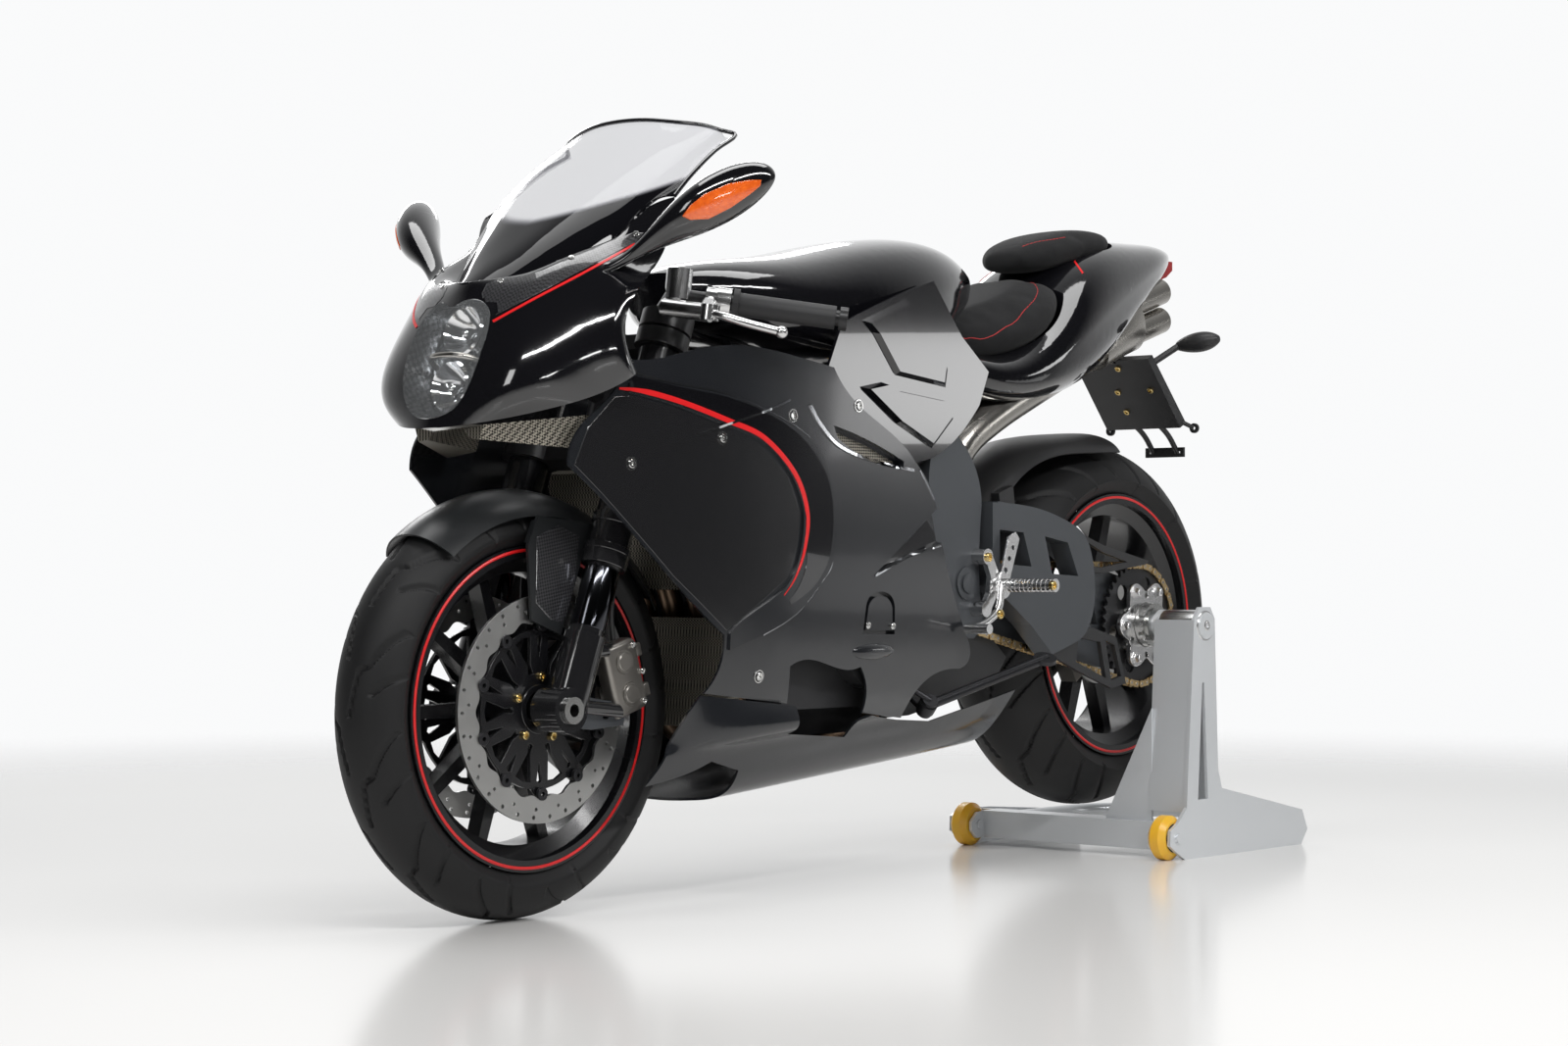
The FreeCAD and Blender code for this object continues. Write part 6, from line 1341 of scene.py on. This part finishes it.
def stand_hubs():
    """The dark spoked hubs in the stand's rollers."""
    for word, side in SIDES:
        low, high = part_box("stand_roller_" + word)
        middle = (low + high) / 2
        y = high.y if side > 0 else low.y
        centre = near(middle, y)
        parts = [turned_profile(HUB_CAP, centre, (0, side, 0), 20),
                 turned_profile(HUB_RING, centre, (0, side, 0), 32)]
        for angle in ring_of(HUB_SPOKES):
            parts.append(block(near(middle, y - 0.001, (SPOKE_REACH[0], -SPOKE_HALF)),
                               near(middle, y + 0.0009, (SPOKE_REACH[1], SPOKE_HALF)), 0.0004,
                               Matrix.Rotation(angle, 4, "Y"), centre, 1))
        piece("roller_hub_" + word, merged(parts), "stand_roller_" + word, "steel_dark")


def stand_sleeve():
    """The round sleeve on the stand's pin, with its end cap and screw."""
    parts = [turned_profile(SLEEVE, near(rear_axle, 0), (0, 1, 0), 56),
             bolt(near(rear_axle, SLEEVE_END), (0, 1, 0), 0.009, 0.004)]
    piece("stand_sleeve", merged(parts), "chassis", "alloy_bright")


# Plate bracket and rear sets
BRACKET_SCREWS = ((0.0, 0.842), (0.046, 0.800), (-0.046, 0.800), (0.0, 0.772))
BRACKET_SCREW_PIXELS = ((1141, 376), (1141, 400), (1174, 398), (1150, 420))
PEG_X = -0.198
PEG_Z = 0.470
PEG_START = 0.200
PEG_END = 0.286
PEG_RINGS = 11
PEG_RING = [(0.0085, -0.0022), (0.0112, -0.0012), (0.0112, 0.0012), (0.0085, 0.0022)]
HEEL_GUARD = [(-0.178, 0.462), (-0.206, 0.470), (-0.236, 0.545), (-0.226, 0.556), (-0.208, 0.548)]
GUARD_HOLES = ((0.0055, 14, (-0.199, 0.494)), (0.0050, 14, (-0.209, 0.513)), (0.0045, 14, (-0.219, 0.531)))
GUARD_Y = 0.1925
BOSS_BOLTS = ((-0.156, 0.515), (-0.150, 0.424), (-0.192, 0.470))


def plate_screws():
    """The screws on the bare plate bracket."""
    tree = surface_of("plate_holder")
    screws = []
    for y, z in BRACKET_SCREWS:
        found = hit(tree, (-1.2, y, z), (1, 0, 0))
        if found:
            screws.append(bolt(*found, 0.007, 0.004))
    for pixel in BRACKET_SCREW_PIXELS:
        found = from_camera(tree)(pixel)
        if found:
            screws.append(bolt(*found, 0.006, 0.003))
    piece("plate_screws", merged(screws), "chassis", "bolt_gold")


def rear_sets():
    """The knurled foot pegs, boss bolts and drilled heel guards."""
    for word, side in SIDES:
        parts = []
        for step in range(PEG_RINGS):
            y = PEG_START + (PEG_END - PEG_START) * step / (PEG_RINGS - 1)
            parts.append(turned_profile(PEG_RING, (PEG_X, side * y, PEG_Z), (0, 1, 0), 10))
        guard = stood_up(flat_mesh(HEEL_GUARD, [circle(*hole) for hole in GUARD_HOLES], 0.004, 0.0005),
                         Vector((0, side * GUARD_Y, 0)))
        parts.append(of_mesh(guard))
        piece("rear_set_" + word, merged(parts), "chassis", "alloy_bright")
        tree = surface_of("footrest_" + word)
        bolts = []
        for x, z in BOSS_BOLTS:
            found = hit(tree, (x, side * 0.5, z), (0, -side, 0))
            if found:
                bolts.append(bolt(found[0], (0, side, 0), 0.0075, 0.004))
        if bolts:
            piece("rear_set_bolts_" + word, merged(bolts), "chassis", "bolt_gold")


# Seat pads
PAD_VOXEL = 0.005
PAD_PRESSURE = 4.0
PAD_FRAMES = 20
PAD_REACH = 0.010
PAD_START = 0.955
PAD_EVENING = 0.5
PAD_EVENINGS = 14


def apply_all(thing):
    """Give an object the mesh that its modifiers make."""
    evaluated = thing.evaluated_get(bpy.context.evaluated_depsgraph_get())
    made = bpy.data.meshes.new_from_object(evaluated)
    old = thing.data
    thing.modifiers.clear()
    thing.data = made
    bpy.data.meshes.remove(old)


def swell(thing):
    """Stuff a pad by cloth pressure, and even it."""
    start = [vertex.co.copy() for vertex in thing.data.vertices]
    cloth = thing.modifiers.new("stuffing", "CLOTH")
    cloth.settings.use_pressure = True
    cloth.settings.uniform_pressure_force = PAD_PRESSURE
    cloth.settings.effector_weights.gravity = 0.0
    cloth.settings.quality = 5
    for frame_number in range(1, PAD_FRAMES + 1):
        scene.frame_set(frame_number)
    apply_all(thing)
    for vertex, before in zip(thing.data.vertices, start):
        moved = vertex.co - before
        if moved.length > PAD_REACH:
            vertex.co = before + moved * (PAD_REACH / moved.length)
    scene.frame_set(1)
    even = thing.modifiers.new("even", "SMOOTH")
    even.factor = PAD_EVENING
    even.iterations = PAD_EVENINGS
    apply_all(thing)


def padded_piece(name, node, stitches):
    """A stuffed pad swollen by cloth pressure from a slightly smaller block."""
    middle = middle_of(node)
    build = bmesh.new()
    build.from_mesh(nodes[node].data)
    bmesh.ops.remove_doubles(build, verts=build.verts, dist=0.00005)
    for vertex in build.verts:
        vertex.co = middle + (vertex.co - middle) * PAD_START
    mesh = bpy.data.meshes.new(name)
    build.to_mesh(mesh)
    build.free()
    mesh.materials.append(finishes["suede"])
    thing = linked(name, mesh)
    remesh = thing.modifiers.new("voxels", "REMESH")
    remesh.mode = "VOXEL"
    remesh.voxel_size = PAD_VOXEL
    apply_all(thing)
    swell(thing)
    smooth = thing.modifiers.new("soften", "SUBSURF")
    smooth.levels = 1
    smooth.render_levels = 1
    apply_all(thing)
    for polygon in thing.data.polygons:
        polygon.use_smooth = True
    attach(thing, "chassis")
    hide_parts(node)
    tree = BVHTree.FromPolygons([vertex.co.copy() for vertex in thing.data.vertices],
                                [list(polygon.vertices) for polygon in thing.data.polygons])
    seam(name + "_stitches", stitches, tree)


STITCH = 0.0045
STITCH_GAP = 0.0020
STITCH_RADIUS = 0.00075
STITCH_ARCH = ((0.0, -0.0004), (0.5, 0.0007), (1.0, -0.0004))
SEAT_STITCHES = [(-0.215, 0.062), (-0.300, 0.104), (-0.385, 0.108), (-0.440, 0.080), (-0.456, 0.0),
                 (-0.440, -0.080), (-0.385, -0.108), (-0.300, -0.104), (-0.215, -0.062)]
PILLION_STITCHES = [(-0.470, 0.030), (-0.520, 0.062), (-0.600, 0.070), (-0.660, 0.052), (-0.672, 0.0),
                    (-0.660, -0.052), (-0.600, -0.070), (-0.520, -0.062), (-0.470, -0.030)]


def seam(name, loop, tree):
    """A row of separate stitches laid from above along a line given as (x, y)."""
    line = smooth_line(loop, 40)
    spans = []
    travelled = 0.0
    start = None
    for before, here in zip(line, line[1:]):
        travelled += (Vector(here) - Vector(before)).length
        if start is None:
            start = before
        if STITCH <= travelled < STITCH + STITCH_GAP:
            spans.append((start, here))
            travelled = -STITCH_GAP
        if travelled < 0:
            start = None
    made = []
    for start, end in spans:
        points = []
        for share, rise in STITCH_ARCH:
            flat = Vector(start).lerp(Vector(end), share)
            found = hit(tree, (flat.x, flat.y, 1.5), (0, 0, -1))
            if found:
                points.append(found[0] + found[1] * rise)
        if len(points) == len(STITCH_ARCH):
            made.append(of_mesh(rod_mesh(points, STITCH_RADIUS, sides=1)))
    if made:
        piece(name, merged(made), "chassis", "thread_red")


def main():
    scene.view_settings.view_transform = "Standard"
    camera()
    world()
    lights()
    floor()
    dress_solids()
    tyres()
    rim_lines()
    front_brakes()
    lines_and_panels()
    mirror_lenses()
    screen_trim()
    headlight()
    chain()
    calipers()
    stand_hubs()
    stand_sleeve()
    disc_carriers()
    fork_details()
    sprocket_flange()
    fender_panels()
    fairing_details()
    plate_screws()
    rear_sets()
    padded_piece("seat_cover", "seat", SEAT_STITCHES)
    padded_piece("pillion_cover", "pillion_pad", PILLION_STITCHES)


main()
